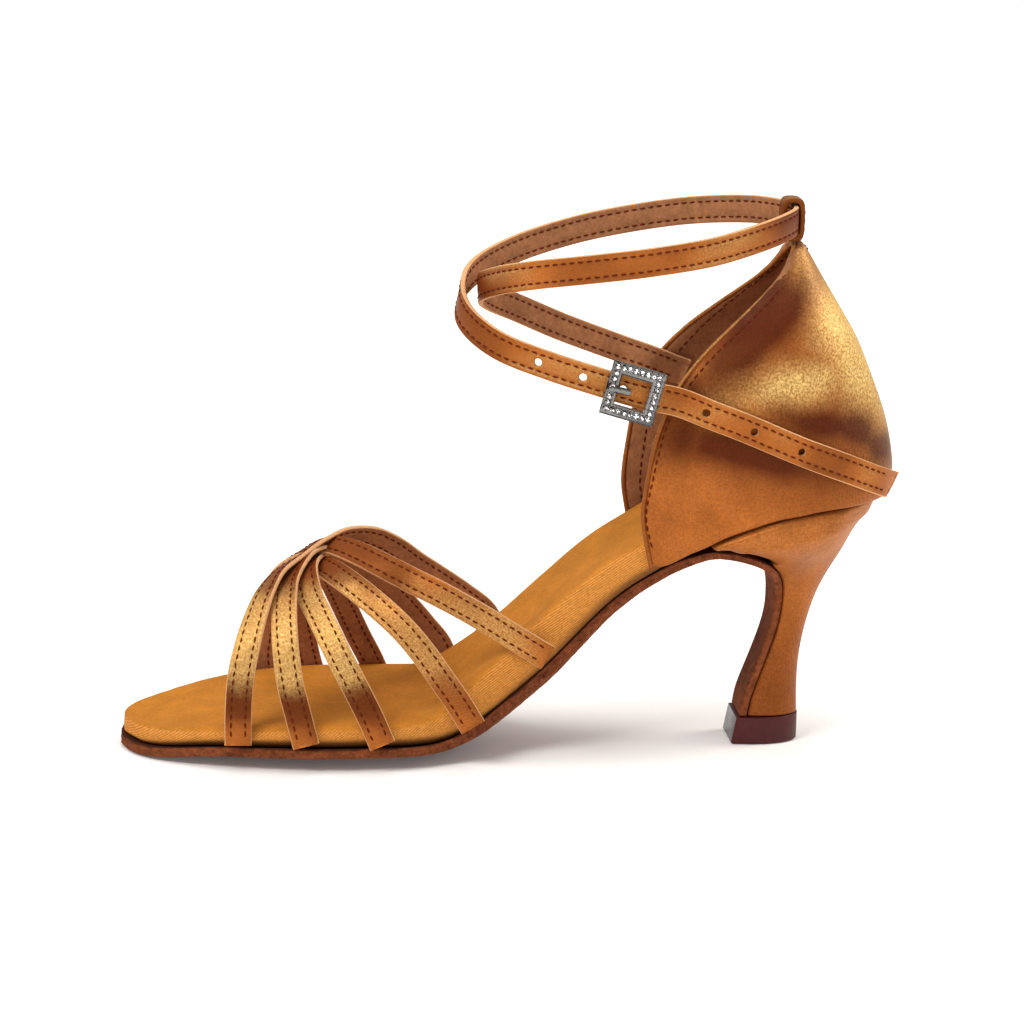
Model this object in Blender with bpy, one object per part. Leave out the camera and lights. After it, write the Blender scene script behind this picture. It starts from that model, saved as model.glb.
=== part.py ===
"""Latin dance sandal with a flared heel: outsole, padded insole, heel and heel tip, counter, woven vamp
straps, one long ankle strap, back loop and buckle.

Metres, +Z up. The origin lies on the floor under the ball of the foot, -X points to the toe, +X to the heel,
-Y to the outer side with the buckle. Run it in Blender's text editor or with blender --background --python.
"""

import math

import bpy
import bmesh
import numpy as np
from mathutils import Vector
from mathutils.bvhtree import BVHTree

# Shoe and last
SHOE_LENGTH = 0.2152
BALL_SHARE = 0.24
HEEL_HEIGHT = 0.070
BALL_WIDTH = 0.0725
WAIST_WIDTH = 0.0436
SEAT_WIDTH = 0.0512
TOE_ROUND = 0.0296
SEAT_ROUND = 0.0270
TOE_OFFSET = 0.005

# Sole and insole
OUTSOLE_THICKNESS = 0.0028
OUTSOLE_MARGIN = 0.0008
FLAP_THICKNESS = 0.0022
EDGE_RISE = 0.005
TREAD_FLAT = 0.45
INSOLE_DEPTH = 0.0142
FOOTBED_DISH = 0.0014

# Heel
TIP_HEIGHT = 0.008
TIP_LENGTH = 0.0184
TIP_WIDTH = 0.0182

# Upper
COUNTER_WALL = 0.0020
LINING_EASE = 0.0010
COLLAR_HEIGHT = 0.0730
ANKLE_WIDTH = 0.0580
VAMP_HEIGHT = 0.0585
VAMP_STRAP_WIDTH = 0.0077
VAMP_STRAP_THICKNESS = 0.0016
ANKLE_STRAP_WIDTH = 0.0080
ANKLE_STRAP_THICKNESS = 0.0018
LOOP_WIDTH = 0.0068
LOOP_THICKNESS = 0.0014

# Buckle
BUCKLE_SIZE = 0.0150
BUCKLE_BAR = 0.0029
BUCKLE_THICKNESS = 0.0016
BUCKLE_PLACE = 0.814
BUCKLE_STRAP_LENGTH = 0.0130
BUCKLE_STRAP_THICKNESS = 0.0012
PRONG_DIAMETER = 0.0014

# Free space left between pieces that touch in the real shoe
GAP = 0.0003
STRAP_EASE = 0.0002

# The line under the insole. along: share of the shoe's length from the toe; rise: share of the heel height
SOLE_LINE = (
    # along, rise
    (0.000, 0.009),
    (0.063, 0.000),
    (0.398, 0.000),
    (0.440, 0.030),
    (0.473, 0.084),
    (0.505, 0.158),
    (0.559, 0.306),
    (0.598, 0.440),
    (0.645, 0.592),
    (0.691, 0.697),
    (0.733, 0.796),
    (0.761, 0.850),
    (0.789, 0.892),
    (0.835, 0.934),
    (0.891, 0.958),
    (0.947, 0.970),
    (1.000, 0.971),
)

# Plan of the insole: half width as shares of the ball, waist and seat widths, and the shift to the outer side
INSOLE_PLAN = (
    # along, ball, waist, seat, shift
    (0.000, 0.78, 0.00, 0.00, 1.00),
    (0.045, 0.75, 0.00, 0.00, 0.85),
    (0.075, 0.77, 0.00, 0.00, 0.66),
    (0.110, 0.81, 0.00, 0.00, 0.46),
    (0.155, 0.90, 0.00, 0.00, 0.26),
    (0.217, 0.973, 0.00, 0.00, 0.10),
    (0.277, 1.00, 0.00, 0.00, 0.00),
    (0.333, 0.985, 0.00, 0.00, -0.10),
    (0.390, 0.92, 0.00, 0.00, -0.10),
    (0.435, 0.55, 0.45, 0.00, 0.00),
    (0.481, 0.30, 0.70, 0.00, 0.00),
    (0.528, 0.10, 0.90, 0.00, 0.00),
    (0.588, 0.00, 1.00, 0.00, 0.00),
    (0.658, 0.00, 0.95, 0.05, 0.00),
    (0.728, 0.00, 0.47, 0.53, 0.00),
    (0.798, 0.00, 0.08, 0.92, 0.00),
    (0.867, 0.00, 0.00, 1.00, 0.00),
    (1.000, 0.00, 0.00, 1.00, 0.00),
)

# Depth of the insole at its edge and rise of its underside there, as shares of INSOLE_DEPTH and EDGE_RISE,
# and the outsole's half width as a share of the insole's
INSOLE_BODY = (
    # along, depth, rise, outsole
    (0.000, 0.33, 0.20, 1.00),
    (0.070, 0.47, 0.50, 1.00),
    (0.133, 0.58, 0.66, 1.00),
    (0.240, 0.67, 0.72, 1.00),
    (0.340, 0.70, 0.72, 1.00),
    (0.400, 0.76, 0.76, 0.99),
    (0.450, 0.94, 0.86, 0.95),
    (0.510, 1.00, 1.00, 0.88),
    (0.565, 1.00, 1.00, 0.82),
    (0.615, 0.90, 0.92, 0.80),
    (0.670, 0.83, 0.70, 0.80),
    (0.715, 0.74, 0.34, 0.82),
    (0.750, 0.66, 0.08, 0.84),
    (0.790, 0.60, 0.00, 0.84),
    (1.000, 0.50, 0.00, 0.84),
)

# Heel sections from the breast's top corner down to the tip. front and back: place on the breast and on the
# heel's back line, as shares of length and of the height between tip and seat; half: half width as a share of
# the seat width; flap: the same for the outsole's breast flap; plan: how far it follows the insole's plan
HEEL_ROWS = (
    # front along, front height, back along, back height, half, flap, plan
    (0.7520, 0.8250, 1.0000, 0.9750, 0.470, 0.395, 1.00),
    (0.7850, 0.8165, 0.9890, 0.9306, 0.440, 0.385, 0.75),
    (0.8170, 0.7856, 0.9730, 0.8810, 0.400, 0.355, 0.45),
    (0.8380, 0.7490, 0.9560, 0.8240, 0.340, 0.315, 0.20),
    (0.8510, 0.7050, 0.9420, 0.7560, 0.275, 0.265, 0.05),
    (0.8590, 0.6540, 0.9300, 0.6940, 0.222, 0.215, 0.00),
    (0.8620, 0.5860, 0.9170, 0.6090, 0.180, 0.176, 0.00),
    (0.8615, 0.5010, 0.9070, 0.5180, 0.157, 0.154, 0.00),
    (0.8565, 0.3990, 0.8985, 0.4040, 0.147, 0.143, 0.00),
    (0.8465, 0.2870, 0.8930, 0.2875, 0.146, 0.141, 0.00),
    (0.8350, 0.1730, 0.8910, 0.1730, 0.152, 0.145, 0.00),
    (0.8255, 0.0750, 0.8915, 0.0750, 0.162, 0.152, 0.00),
    (0.8220, 0.0000, 0.8925, 0.0000, 0.170, 0.158, 0.00),
)

# Counter sections from the seat up. front and back: share of length; heights: share of the collar height
# above the heel height; half: share of the ankle width; wrap: how far it follows the insole's plan
COUNTER_ROWS = (
    # front along, front height, back along, back height, half, mouth, wrap
    (0.678, -0.190, 1.000, 0.000, 0.480, 0.860, 1.00),
    (0.669, -0.085, 1.003, 0.070, 0.480, 0.860, 1.00),
    (0.665, 0.010, 1.006, 0.140, 0.485, 0.850, 0.70),
    (0.668, 0.135, 1.002, 0.235, 0.490, 0.870, 0.30),
    (0.681, 0.325, 0.990, 0.365, 0.495, 0.880, 0.00),
    (0.706, 0.490, 0.972, 0.500, 0.480, 0.870, 0.00),
    (0.739, 0.607, 0.951, 0.640, 0.430, 0.870, 0.00),
    (0.777, 0.707, 0.927, 0.756, 0.355, 0.880, 0.00),
    (0.816, 0.800, 0.902, 0.870, 0.262, 0.900, 0.00),
    (0.846, 0.885, 0.884, 0.960, 0.175, 0.930, 0.00),
    (0.862, 0.960, 0.874, 1.000, 0.110, 0.970, 0.00),
)

# Vamp straps. foot and bow: where the strap meets the sole and how far it bows, on the outer and inner side,
# as shares of length; crown: its place over the instep; top and lift: shares of VAMP_HEIGHT, over the instep
# and halfway down the inner side
VAMP_ROWS = (
    # outer foot, outer bow, crown, inner bow, inner foot, top, lift
    (0.148, -0.020, 0.252, 0.012, 0.516, 0.930, 0.095),
    (0.235, -0.028, 0.236, 0.000, 0.442, 0.938, 0.00),
    (0.331, -0.024, 0.236, -0.014, 0.342, 0.893, 0.00),
    (0.459, -0.012, 0.242, -0.010, 0.254, 0.908, 0.00),
    (0.565, 0.012, 0.244, 0.002, 0.185, 0.953, 0.00),
)

# Route of the ankle strap's middle, from the inner side of the counter twice round the ankle to its free end.
# along: share of length; side: share of half the ankle width, - to the outer side; height: share of the
# collar height above the heel height; rests: -1 against the counter's lining, 1 on its outside; stand: how
# many strap thicknesses it is held off that wall
ANKLE_STRAP_ROUTE = (
    # along, side, height, rests, stand
    (0.742, 1.000, 0.440, -1, 0),
    (0.718, 1.000, 0.468, -1, 0),
    (0.690, 0.745, 0.500, 0, 0),
    (0.652, 0.800, 0.535, 0, 0),
    (0.574, 0.690, 0.622, 0, 0),
    (0.513, 0.480, 0.706, 0, 0),
    (0.470, 0.180, 0.770, 0, 0),
    (0.456, -0.080, 0.815, 0, 0),
    (0.472, -0.420, 0.862, 0, 0),
    (0.513, -0.760, 0.905, 0, 0),
    (0.588, -1.000, 0.945, 0, 0),
    (0.664, -1.020, 0.975, 0, 0),
    (0.743, -0.890, 1.010, 0, 0),
    (0.815, -0.560, 1.055, 0, 0),
    (0.853, -0.240, 1.085, 0, 0),
    (0.862, 0.000, 1.095, 0, 0),
    (0.853, 0.240, 1.100, 0, 0),
    (0.815, 0.600, 1.100, 0, 0),
    (0.743, 0.930, 1.075, 0, 0),
    (0.664, 1.020, 1.035, 0, 0),
    (0.588, 0.930, 0.990, 0, 0),
    (0.510, 0.650, 0.930, 0, 0),
    (0.453, 0.250, 0.865, 0, 0),
    (0.430, -0.150, 0.795, 0, 0),
    (0.434, -0.500, 0.720, 0, 0),
    (0.475, -0.790, 0.640, 0, 0),
    (0.540, -0.960, 0.575, 0, 0),
    (0.605, -1.040, 0.520, 0, 0),
    (0.655, -1.090, 0.480, 0, 0),
    (0.705, -1.000, 0.440, 1, 1),
    (0.745, -1.000, 0.405, 1, 1),
    (0.790, -1.000, 0.355, 1, 0),
    (0.860, -1.000, 0.270, 1, 0),
    (0.920, -1.000, 0.195, 1, 0),
    (0.965, -1.000, 0.135, 1, 0),
    (0.990, -1.000, 0.100, 1, 0),
)

WELD = 0.000001
SOLE_STATIONS = 30
ROUND_STATIONS = 7
RING_STEPS = 8
COUNTER_STEPS = 12
VAMP_STEPS = 34
ANKLE_STEPS = 84
LOOP_STEPS = 24
PRONG_STEPS = 9


def place(along):
    """The X of a share of the shoe's length, measured from the toe."""
    return (along - BALL_SHARE) * SHOE_LENGTH


INSOLE_END = place(1.0) - COUNTER_WALL - GAP - LINING_EASE
TIP_TOP = TIP_HEIGHT + GAP


def smooth(xs, ys):
    """A smooth function through the points that never overshoots them."""
    xs, ys = np.array(xs, float), np.array(ys, float)
    steps = np.diff(ys) / np.diff(xs)
    slopes = np.concatenate([steps[:1], (steps[1:] + steps[:-1]) / 2, steps[-1:]])
    for i, step in enumerate(steps):
        for j in (i, i + 1):
            if slopes[j] * step <= 0:
                slopes[j] = 0
            else:
                slopes[j] = math.copysign(min(abs(slopes[j]), 3 * abs(step)), step)

    def at(x):
        x = min(max(x, xs[0]), xs[-1])
        i = min(int(np.searchsorted(xs, x, side="right")) - 1, len(xs) - 2)
        width = xs[i + 1] - xs[i]
        t = (x - xs[i]) / width
        ends = ys[i] * (1 + 2 * t) * (1 - t) ** 2 + ys[i + 1] * t * t * (3 - 2 * t)
        return ends + width * (slopes[i] * t * (1 - t) ** 2 + slopes[i + 1] * t * t * (t - 1))

    return at


def column(rows, number):
    """One column of a table as a smooth function of its first column."""
    return smooth([row[0] for row in rows], [row[number] for row in rows])


def by_row(rows, number):
    """One column of a table as a smooth function of the row's index."""
    return smooth(range(len(rows)), [row[number] for row in rows])


def through(points, count):
    """count points, evenly spaced along a Catmull-Rom curve through the points."""
    ends = [points[0] * 2 - points[1], *points, points[-1] * 2 - points[-2]]
    fine = []
    for a, b, c, d in zip(ends, ends[1:], ends[2:], ends[3:]):
        for t in np.linspace(0, 1, 12, endpoint=False):
            bend = (2 * a - 5 * b + 4 * c - d) * t**2 + (3 * b - a - 3 * c + d) * t**3
            fine.append((2 * b + (c - a) * t + bend) / 2)
    fine = np.array([*fine, points[-1]])
    run = np.concatenate([[0], np.cumsum(np.linalg.norm(np.diff(fine, axis=0), axis=1))])
    wanted = np.linspace(0, run[-1], count)
    return np.stack([np.interp(wanted, run, fine[:, i]) for i in range(fine.shape[1])], 1)


rise_at = column(SOLE_LINE, 1)
plan_at = [column(INSOLE_PLAN, i) for i in (1, 2, 3)]
shift_at = column(INSOLE_PLAN, 4)
depth_at, edge_rise_at, outsole_share_at = (column(INSOLE_BODY, i) for i in (1, 2, 3))


def share(x):
    return x / SHOE_LENGTH + BALL_SHARE


def sole_height(x):
    """Height of the line under the insole."""
    return OUTSOLE_THICKNESS + GAP + rise_at(share(x)) * HEEL_HEIGHT


def sole_frame(x):
    """The point of that line at x, and the direction square to it in the shoe's middle plane."""
    step = 0.001
    slope = (sole_height(x + step) - sole_height(x - step)) / (2 * step)
    return np.array([x, 0, sole_height(x)]), np.array([-slope, 0, 1]) / math.hypot(slope, 1)


def body_half(x):
    """Half width of the last's bottom, before its ends are rounded."""
    widths = (BALL_WIDTH, WAIST_WIDTH, SEAT_WIDTH)
    return sum(at(share(x)) * width / 2 for at, width in zip(plan_at, widths))


def insole_half(x):
    """Half width of the insole, rounded at the toe and at the seat."""
    half = body_half(x)
    toe, seat = place(0) + TOE_ROUND - x, x - INSOLE_END + SEAT_ROUND
    if toe > 0:
        half *= max(0, 1 - (toe / TOE_ROUND) ** 2) ** 0.5
    if seat > 0:
        half *= max(0, 1 - (seat / SEAT_ROUND) ** 2.2) ** (1 / 2.2)
    return half


def sole_stations(start, end):
    """Places along the shoe, closer together where the outline turns round the toe and the seat."""
    turn = [1 - math.cos(math.pi / 2 * i / ROUND_STATIONS) for i in range(ROUND_STATIONS)]
    turn[0] = 0.002
    toe = [start + TOE_ROUND * t for t in turn]
    seat = [end - SEAT_ROUND * t for t in reversed(turn)]
    return toe + list(np.linspace(start + TOE_ROUND, end - SEAT_ROUND, SOLE_STATIONS)) + seat


def offset_edges(offset):
    """The insole's outline moved outwards, as arrays of x and y for the outer (-1) and the inner (1) side."""
    turn = 0.5 - 0.5 * np.cos(np.linspace(0, math.pi, 400))
    xs = place(0) + (INSOLE_END - place(0)) * turn
    edges = {}
    for side in (-1, 1):
        ys = np.array([side * insole_half(x) - shift_at(share(x)) * TOE_OFFSET for x in xs])
        dx, dy = np.gradient(xs), np.gradient(ys)
        length = np.hypot(dx, dy)
        moved_x, moved_y = xs - side * offset * dy / length, ys + side * offset * dx / length
        order = np.argsort(moved_x)
        edges[side] = moved_x[order], moved_y[order]
    return edges


INSOLE_EDGES = offset_edges(0.0)
OUTSOLE_EDGES = offset_edges(OUTSOLE_MARGIN)
LINING_EDGES = offset_edges(GAP + LINING_EASE)
SEAT_EDGES = offset_edges(GAP + LINING_EASE + COUNTER_WALL)


def edge(edges, x, side):
    return float(np.interp(x, *edges[side]))


def edge_rise(x, across):
    """How far the underside curves up at a distance from its middle line; the tread's middle is flat."""
    beyond = max(0, min(abs(across) / body_half(x), 1.05) - TREAD_FLAT) / (1 - TREAD_FLAT)
    return EDGE_RISE * edge_rise_at(share(x)) * beyond**1.6


def insole_ring(x):
    """One section of the insole, square to the sole line."""
    base, up = sole_frame(x)
    outer, inner = edge(INSOLE_EDGES, x, -1), edge(INSOLE_EDGES, x, 1)
    middle, half = (outer + inner) / 2, (inner - outer) / 2
    depth = INSOLE_DEPTH * depth_at(share(x))
    low = edge_rise(x, half)
    side_height = depth - low
    dish = FOOTBED_DISH * min(1, half / (WAIST_WIDTH / 2))
    around = [(v, edge_rise(x, v * half)) for v in np.linspace(-0.94, 0.94, RING_STEPS + 1)]
    wall = [(v, depth - down * side_height) for v, down in ((1.0, 0.66), (1.0, 0.33), (0.955, 0.04))]
    top = [(v, depth - dish * (1 - (v / 0.87) ** 2)) for v in np.linspace(0.87, -0.87, RING_STEPS)]
    around += wall + top + [(-v, height) for v, height in reversed(wall)]
    return [base + up * height + np.array([0, middle + v * half, 0]) for v, height in around]


def loft(name, rings, material):
    """A closed solid through rings of equally many points, its two ends filled."""
    mesh = bmesh.new()
    loops = [[mesh.verts.new(point) for point in ring] for ring in rings]
    for a, b in zip(loops, loops[1:]):
        for i in range(len(a)):
            j = (i + 1) % len(a)
            mesh.faces.new((a[i], a[j], b[j], b[i]))
    for loop in (loops[0], loops[-1]):
        strip_cap(mesh, loop)
    return finished(name, mesh, material)


def strip_cap(mesh, loop):
    """Fills a loop with strips from one half of it to the other."""
    low, high = 0, len(loop) - 1
    while high - low > 2:
        mesh.faces.new((loop[low], loop[low + 1], loop[high - 1], loop[high]))
        low, high = low + 1, high - 1
    if high - low == 2:
        mesh.faces.new((loop[low], loop[low + 1], loop[high]))


def finished(name, mesh, material):
    bmesh.ops.recalc_face_normals(mesh, faces=mesh.faces[:])
    bmesh.ops.triangulate(mesh, faces=mesh.faces[:])
    data = bpy.data.meshes.new(name)
    mesh.to_mesh(data)
    mesh.free()
    data.materials.append(material)
    data.shade_smooth()
    data.set_sharp_from_angle(angle=math.radians(35))
    part = bpy.data.objects.new(name, data)
    parts.objects.link(part)
    return part


def material(name, colour, roughness, metallic=0.0):
    """A Principled material from an sRGB hex colour."""
    made = bpy.data.materials.new(name)
    made.use_nodes = True
    shader = made.node_tree.nodes["Principled BSDF"]
    channels = [int(colour[i : i + 2], 16) / 255 for i in (0, 2, 4)]
    linear = [c / 12.92 if c <= 0.04045 else ((c + 0.055) / 1.055) ** 2.4 for c in channels]
    shader.inputs["Base Color"].default_value = (*linear, 1)
    shader.inputs["Roughness"].default_value = roughness
    shader.inputs["Metallic"].default_value = metallic
    return made


def new_collection(name):
    made = bpy.data.collections.new(name)
    bpy.context.scene.collection.children.link(made)
    return made


def make_insole():
    rings = [insole_ring(x) for x in sole_stations(place(0), INSOLE_END)]
    return loft("insole", rings, material("microsuede_footbed", "C08022", 0.9))


def breast_rows():
    """The heel's sections, twice as many as the table's rows."""
    front_x, front_z, back_x, back_z, half, flap, plan = (by_row(HEEL_ROWS, i) for i in range(7))
    body = HEEL_HEIGHT - TIP_TOP
    rows = []
    for t in np.linspace(0, len(HEEL_ROWS) - 1, 2 * len(HEEL_ROWS) - 1):
        front = np.array([place(front_x(t)), 0, TIP_TOP + front_z(t) * body])
        back = np.array([place(back_x(t)), 0, TIP_TOP + back_z(t) * body])
        rows.append((front, back, half(t) * SEAT_WIDTH, flap(t) * SEAT_WIDTH, plan(t)))
    return rows


def make_outsole():
    """The tread, which runs on under the shank and turns down over the heel's breast."""
    flap = breast_rows()
    start, turn = place(0) - OUTSOLE_MARGIN, flap[0][0][0] - 0.006
    tread = [x for x in sole_stations(start, INSOLE_END) if x < turn]
    line = [sole_frame(x)[0] for x in tread] + [front for front, *_ in flap]
    rings = []
    for i, base in enumerate(line):
        ahead = line[min(i + 1, len(line) - 1)] - line[max(i - 1, 0)]
        if i == len(line) - 1:
            ahead = np.array([0, 0, -1])
        up = np.array([-ahead[2], 0, ahead[0]]) / np.linalg.norm(ahead)
        x = base[0]
        if i < len(tread):
            outer, inner = edge(OUTSOLE_EDGES, x, -1), edge(OUTSOLE_EDGES, x, 1)
            middle, half = (outer + inner) / 2, (inner - outer) / 2 * outsole_share_at(share(x))
            thickness = OUTSOLE_THICKNESS
        else:
            middle, half, thickness = 0, flap[i - len(tread)][3], FLAP_THICKNESS
        top = []
        for v in np.linspace(-1, 1, RING_STEPS + 1):
            lift = edge_rise(x, v * half) if i < len(tread) else 0
            top.append(base + up * (lift - GAP) + np.array([0, middle + v * half, 0]))
        rings.append(top + [point - up * thickness for point in reversed(top)])
    return loft("outsole", rings, material("split_suede_sole", "8E4E2C", 0.95))


def heel_ring(front, back, half, plan, on_seat):
    """One section of the heel: flat across the breast, round at the back."""
    sides = {}
    for side in (-1, 1):
        sides[side] = []
        for t in np.linspace(0, 1, RING_STEPS):
            along = math.sin(math.pi / 2 * t)
            x = front[0] + (back[0] - front[0]) * along
            z = front[2] + (back[2] - front[2]) * along
            own = half * (0.93 + 0.07 * math.sin(math.pi * min(along, 0.5))) * max(0, 1 - along**2.6) ** 0.5
            reach = front[0] + (place(1) - front[0]) * along
            y = side * own * (1 - plan) + edge(SEAT_EDGES, reach, side) * plan
            sides[side].append(np.array([x, y, sole_height(x) - GAP if on_seat else z]))
    return sides[-1][:-1] + [np.array([back[0], 0, sides[1][-1][2]])] + sides[1][-2::-1]


def make_heel():
    rings = []
    for i, (front, back, half, _, plan) in enumerate(breast_rows()):
        rings.append(heel_ring(front, back, half, plan, i == 0))
    return loft("heel", rings, material("satin_heel_cover", "B8702E", 0.4))


def make_heel_tip():
    """The top piece that the heel stands on, flat below and a little smaller there."""
    back = place(HEEL_ROWS[-1][2]) + 0.0002
    rings = []
    for z, draft in ((0.0, 0.0005), (0.0006, 0.0), (TIP_HEIGHT, 0.0)):
        front = np.array([back - TIP_LENGTH + draft, 0, z])
        rings.append(heel_ring(front, np.array([back - draft, 0, z]), TIP_WIDTH / 2 - draft, 0, False))
    return loft("heel_tip", rings, material("heel_tip_rubber", "5A2A28", 0.55))


def counter_section(row):
    """The inner face of the counter at one height, from its outer front edge round the back to its inner one."""
    front, back, half, mouth, wrap = row
    points = []
    for t in np.linspace(-1, 1, 2 * COUNTER_STEPS + 1):
        side = -1 if t < 0 else 1
        along = math.cos(math.pi / 2 * t) if abs(t) < 1 else 0.0
        x = front[0] + (back[0] - front[0]) * along
        spread = mouth + (1 - mouth) * math.sin(math.pi / 2 * min(1, along / 0.45))
        close = max(0, 1 - max(0, (along - 0.45) / 0.55) ** 2.2) ** (1 / 2.2)
        reach = front[0] + (INSOLE_END + GAP + LINING_EASE - front[0]) * along
        y = side * half * spread * close * (1 - wrap) + edge(LINING_EDGES, reach, side) * wrap
        chord = sole_height(front[0]) * (1 - along) + sole_height(place(1)) * along
        z = front[2] + (back[2] - front[2]) * along + wrap * (sole_height(x) - chord)
        points.append(np.array([x, y if t else 0.0, z]))
    return points


def counter_rows():
    columns = [by_row(COUNTER_ROWS, i) for i in range(7)]
    rows = []
    for t in np.linspace(0, len(COUNTER_ROWS) - 1, 2 * len(COUNTER_ROWS) - 1):
        front_x, front_z, back_x, back_z, half, mouth, wrap = (at(t) for at in columns)
        front = np.array([place(front_x), 0, HEEL_HEIGHT + front_z * COLLAR_HEIGHT])
        back = np.array([place(back_x) - COUNTER_WALL, 0, HEEL_HEIGHT + back_z * COLLAR_HEIGHT])
        rows.append((front, back, half * ANKLE_WIDTH, mouth, wrap))
    return rows


def outward(grid):
    """Unit normals of a grid of points, away from its hollow side."""
    across, up = np.gradient(grid, axis=1), np.gradient(grid, axis=0)
    normals = np.cross(across, up)
    return normals / np.linalg.norm(normals, axis=2, keepdims=True)


def make_counter():
    """The hollow back of the upper: one wall round the heel, open at the collar, in front and underneath."""
    inner = np.array([counter_section(row) for row in counter_rows()])
    for point in inner[0]:
        point[2] = sole_height(point[0]) + edge_rise(point[0], point[1])
    normals = outward(inner)
    normals[0, :, 2] = 0
    outer = inner + normals * COUNTER_WALL
    mesh = bmesh.new()
    faces = [[[mesh.verts.new(point) for point in row] for row in grid] for grid in (inner, outer)]
    rows, steps = len(inner), len(inner[0])
    quads = [
        (k * steps + i, k * steps + i + 1, (k + 1) * steps + i + 1, (k + 1) * steps + i)
        for k in range(rows - 1)
        for i in range(steps - 1)
    ]
    for face, grid in ((-1, inner), (1, outer)):
        counter_walls[face] = BVHTree.FromPolygons([Vector(p) for p in grid.reshape(-1, 3)], quads)
    for grid in faces:
        for k in range(rows - 1):
            for i in range(steps - 1):
                mesh.faces.new((grid[k][i], grid[k][i + 1], grid[k + 1][i + 1], grid[k + 1][i]))
    near, far = faces
    for k in (0, rows - 1):
        for i in range(steps - 1):
            mesh.faces.new((near[k][i], near[k][i + 1], far[k][i + 1], far[k][i]))
    for i in (0, steps - 1):
        for k in range(rows - 1):
            mesh.faces.new((near[k][i], near[k + 1][i], far[k + 1][i], far[k][i]))
    return finished("counter", mesh, material("satin_counter", "B56E2C", 0.35))


def band(name, path, normals, width, thickness, shade):
    """A flat strap along a path: width across it, thickness along the normals."""
    tangents = np.gradient(path, axis=0)
    tangents /= np.linalg.norm(tangents, axis=1, keepdims=True)
    rings = []
    for point, tangent, normal in zip(path, tangents, normals):
        normal = normal - tangent * (normal @ tangent)
        normal /= np.linalg.norm(normal)
        across = np.cross(tangent, normal) * width / 2
        out = normal * thickness / 2
        rings.append([point - across - out, point + across - out, point + across + out, point - across + out])
    return loft(name, rings, shade)


def vamp_half(side, foot, bow, crown, top, lift):
    """Middle points and normals of half a vamp strap, from the instep's crown down to the sole's edge."""
    foot_x, crown_x, bow = place(foot), place(crown), bow * SHOE_LENGTH
    base, up = sole_frame(foot_x)
    beside = [abs(edge(INSOLE_EDGES, foot_x + step * VAMP_STRAP_WIDTH, side)) for step in (-0.6, 0, 0.6)]
    reach = side * (max(beside) + 2 * GAP + VAMP_STRAP_THICKNESS / 2)
    depth = INSOLE_DEPTH * depth_at(share(foot_x))
    ridge = base + up * depth
    bottom = base + up * (edge_rise(foot_x, reach) + GAP)
    turn = 2 / 2.2
    points, normals = [], []
    for u in (0.0, 0.14, 0.28, 0.42, 0.56, 0.7, 0.82, 0.92, 1.0):
        angle = math.pi / 2 * u
        y = reach * math.sin(angle) ** turn
        z = ridge[2] + (top - ridge[2]) * math.cos(angle) ** turn + lift * math.sin(math.pi * u)
        x = crown_x + (ridge[0] - crown_x) * u + bow * math.sin(math.pi * u)
        points.append(np.array([x, y, z]))
        normals.append(np.array([0, side * math.sin(angle) / abs(reach), math.cos(angle) / (top - ridge[2])]))
    for share_down in (0.5, 1.0):
        down = ridge + (bottom - ridge) * share_down
        points.append(np.array([down[0], reach, down[2]]))
        normals.append(np.array([0, float(side), 0]))
    return points, normals


def shells(mesh):
    """The faces of a mesh, sorted into the closed shells that they make."""
    left = set(mesh.faces)
    found = []
    while left:
        ahead = [left.pop()]
        shell = []
        while ahead:
            face = ahead.pop()
            shell.append(face)
            plain = [side.link_faces for side in face.edges if len(side.link_faces) == 2]
            beside = {other for pair in plain for other in pair} & left
            left -= beside
            ahead += beside
        found.append(shell)
    return found


def signed_volume(shell):
    """Volume inside a closed shell, below nothing where the shell faces inwards, as a trapped bubble does."""
    total = 0
    start = np.array(shell[0].verts[0].co)
    for face in shell:
        corners = [np.array(corner.co) - start for corner in face.verts]
        for a, b in zip(corners[1:], corners[2:]):
            total += corners[0] @ np.cross(a, b) / 6
    return total


def make_vamp():
    """The woven straps over the forefoot, joined where they cross."""
    shade = material("satin_vamp_straps", "B56E2C", 0.35)
    straps = []
    for number, row in enumerate(VAMP_ROWS):
        outer_foot, outer_bow, crown, inner_bow, inner_foot, top, lift = row
        height = VAMP_HEIGHT * top
        outer, outer_out = vamp_half(-1, outer_foot, outer_bow, crown, height, 0)
        inner, inner_out = vamp_half(1, inner_foot, inner_bow, crown, height, VAMP_HEIGHT * lift)
        points = through(outer[::-1] + inner[1:], VAMP_STEPS)
        normals = through(outer_out[::-1] + inner_out[1:], VAMP_STEPS)
        normals[0], normals[-1] = (0, -1, 0), (0, 1, 0)
        straps.append(band(f"strap_{number}", points, normals, VAMP_STRAP_WIDTH, VAMP_STRAP_THICKNESS, shade))
    whole = straps[0]
    for strap in straps[1:]:
        joined = whole.modifiers.new(f"join_{strap.name}", "BOOLEAN")
        joined.operation = "UNION"
        joined.solver = "MANIFOLD"
        joined.object = strap
        parts.objects.unlink(strap)
        cutters.objects.link(strap)
        strap.hide_render = True
        strap.display_type = "WIRE"
    bpy.context.view_layer.update()
    mesh = bmesh.new()
    mesh.from_object(whole, bpy.context.evaluated_depsgraph_get())
    bmesh.ops.dissolve_degenerate(mesh, dist=WELD, edges=mesh.edges)
    for shell in shells(mesh):
        if signed_volume(shell) < 0:
            bmesh.ops.delete(mesh, geom=shell, context="FACES")
    bpy.data.objects.remove(whole, do_unlink=True)
    return finished("vamp_straps", mesh, shade)


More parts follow.
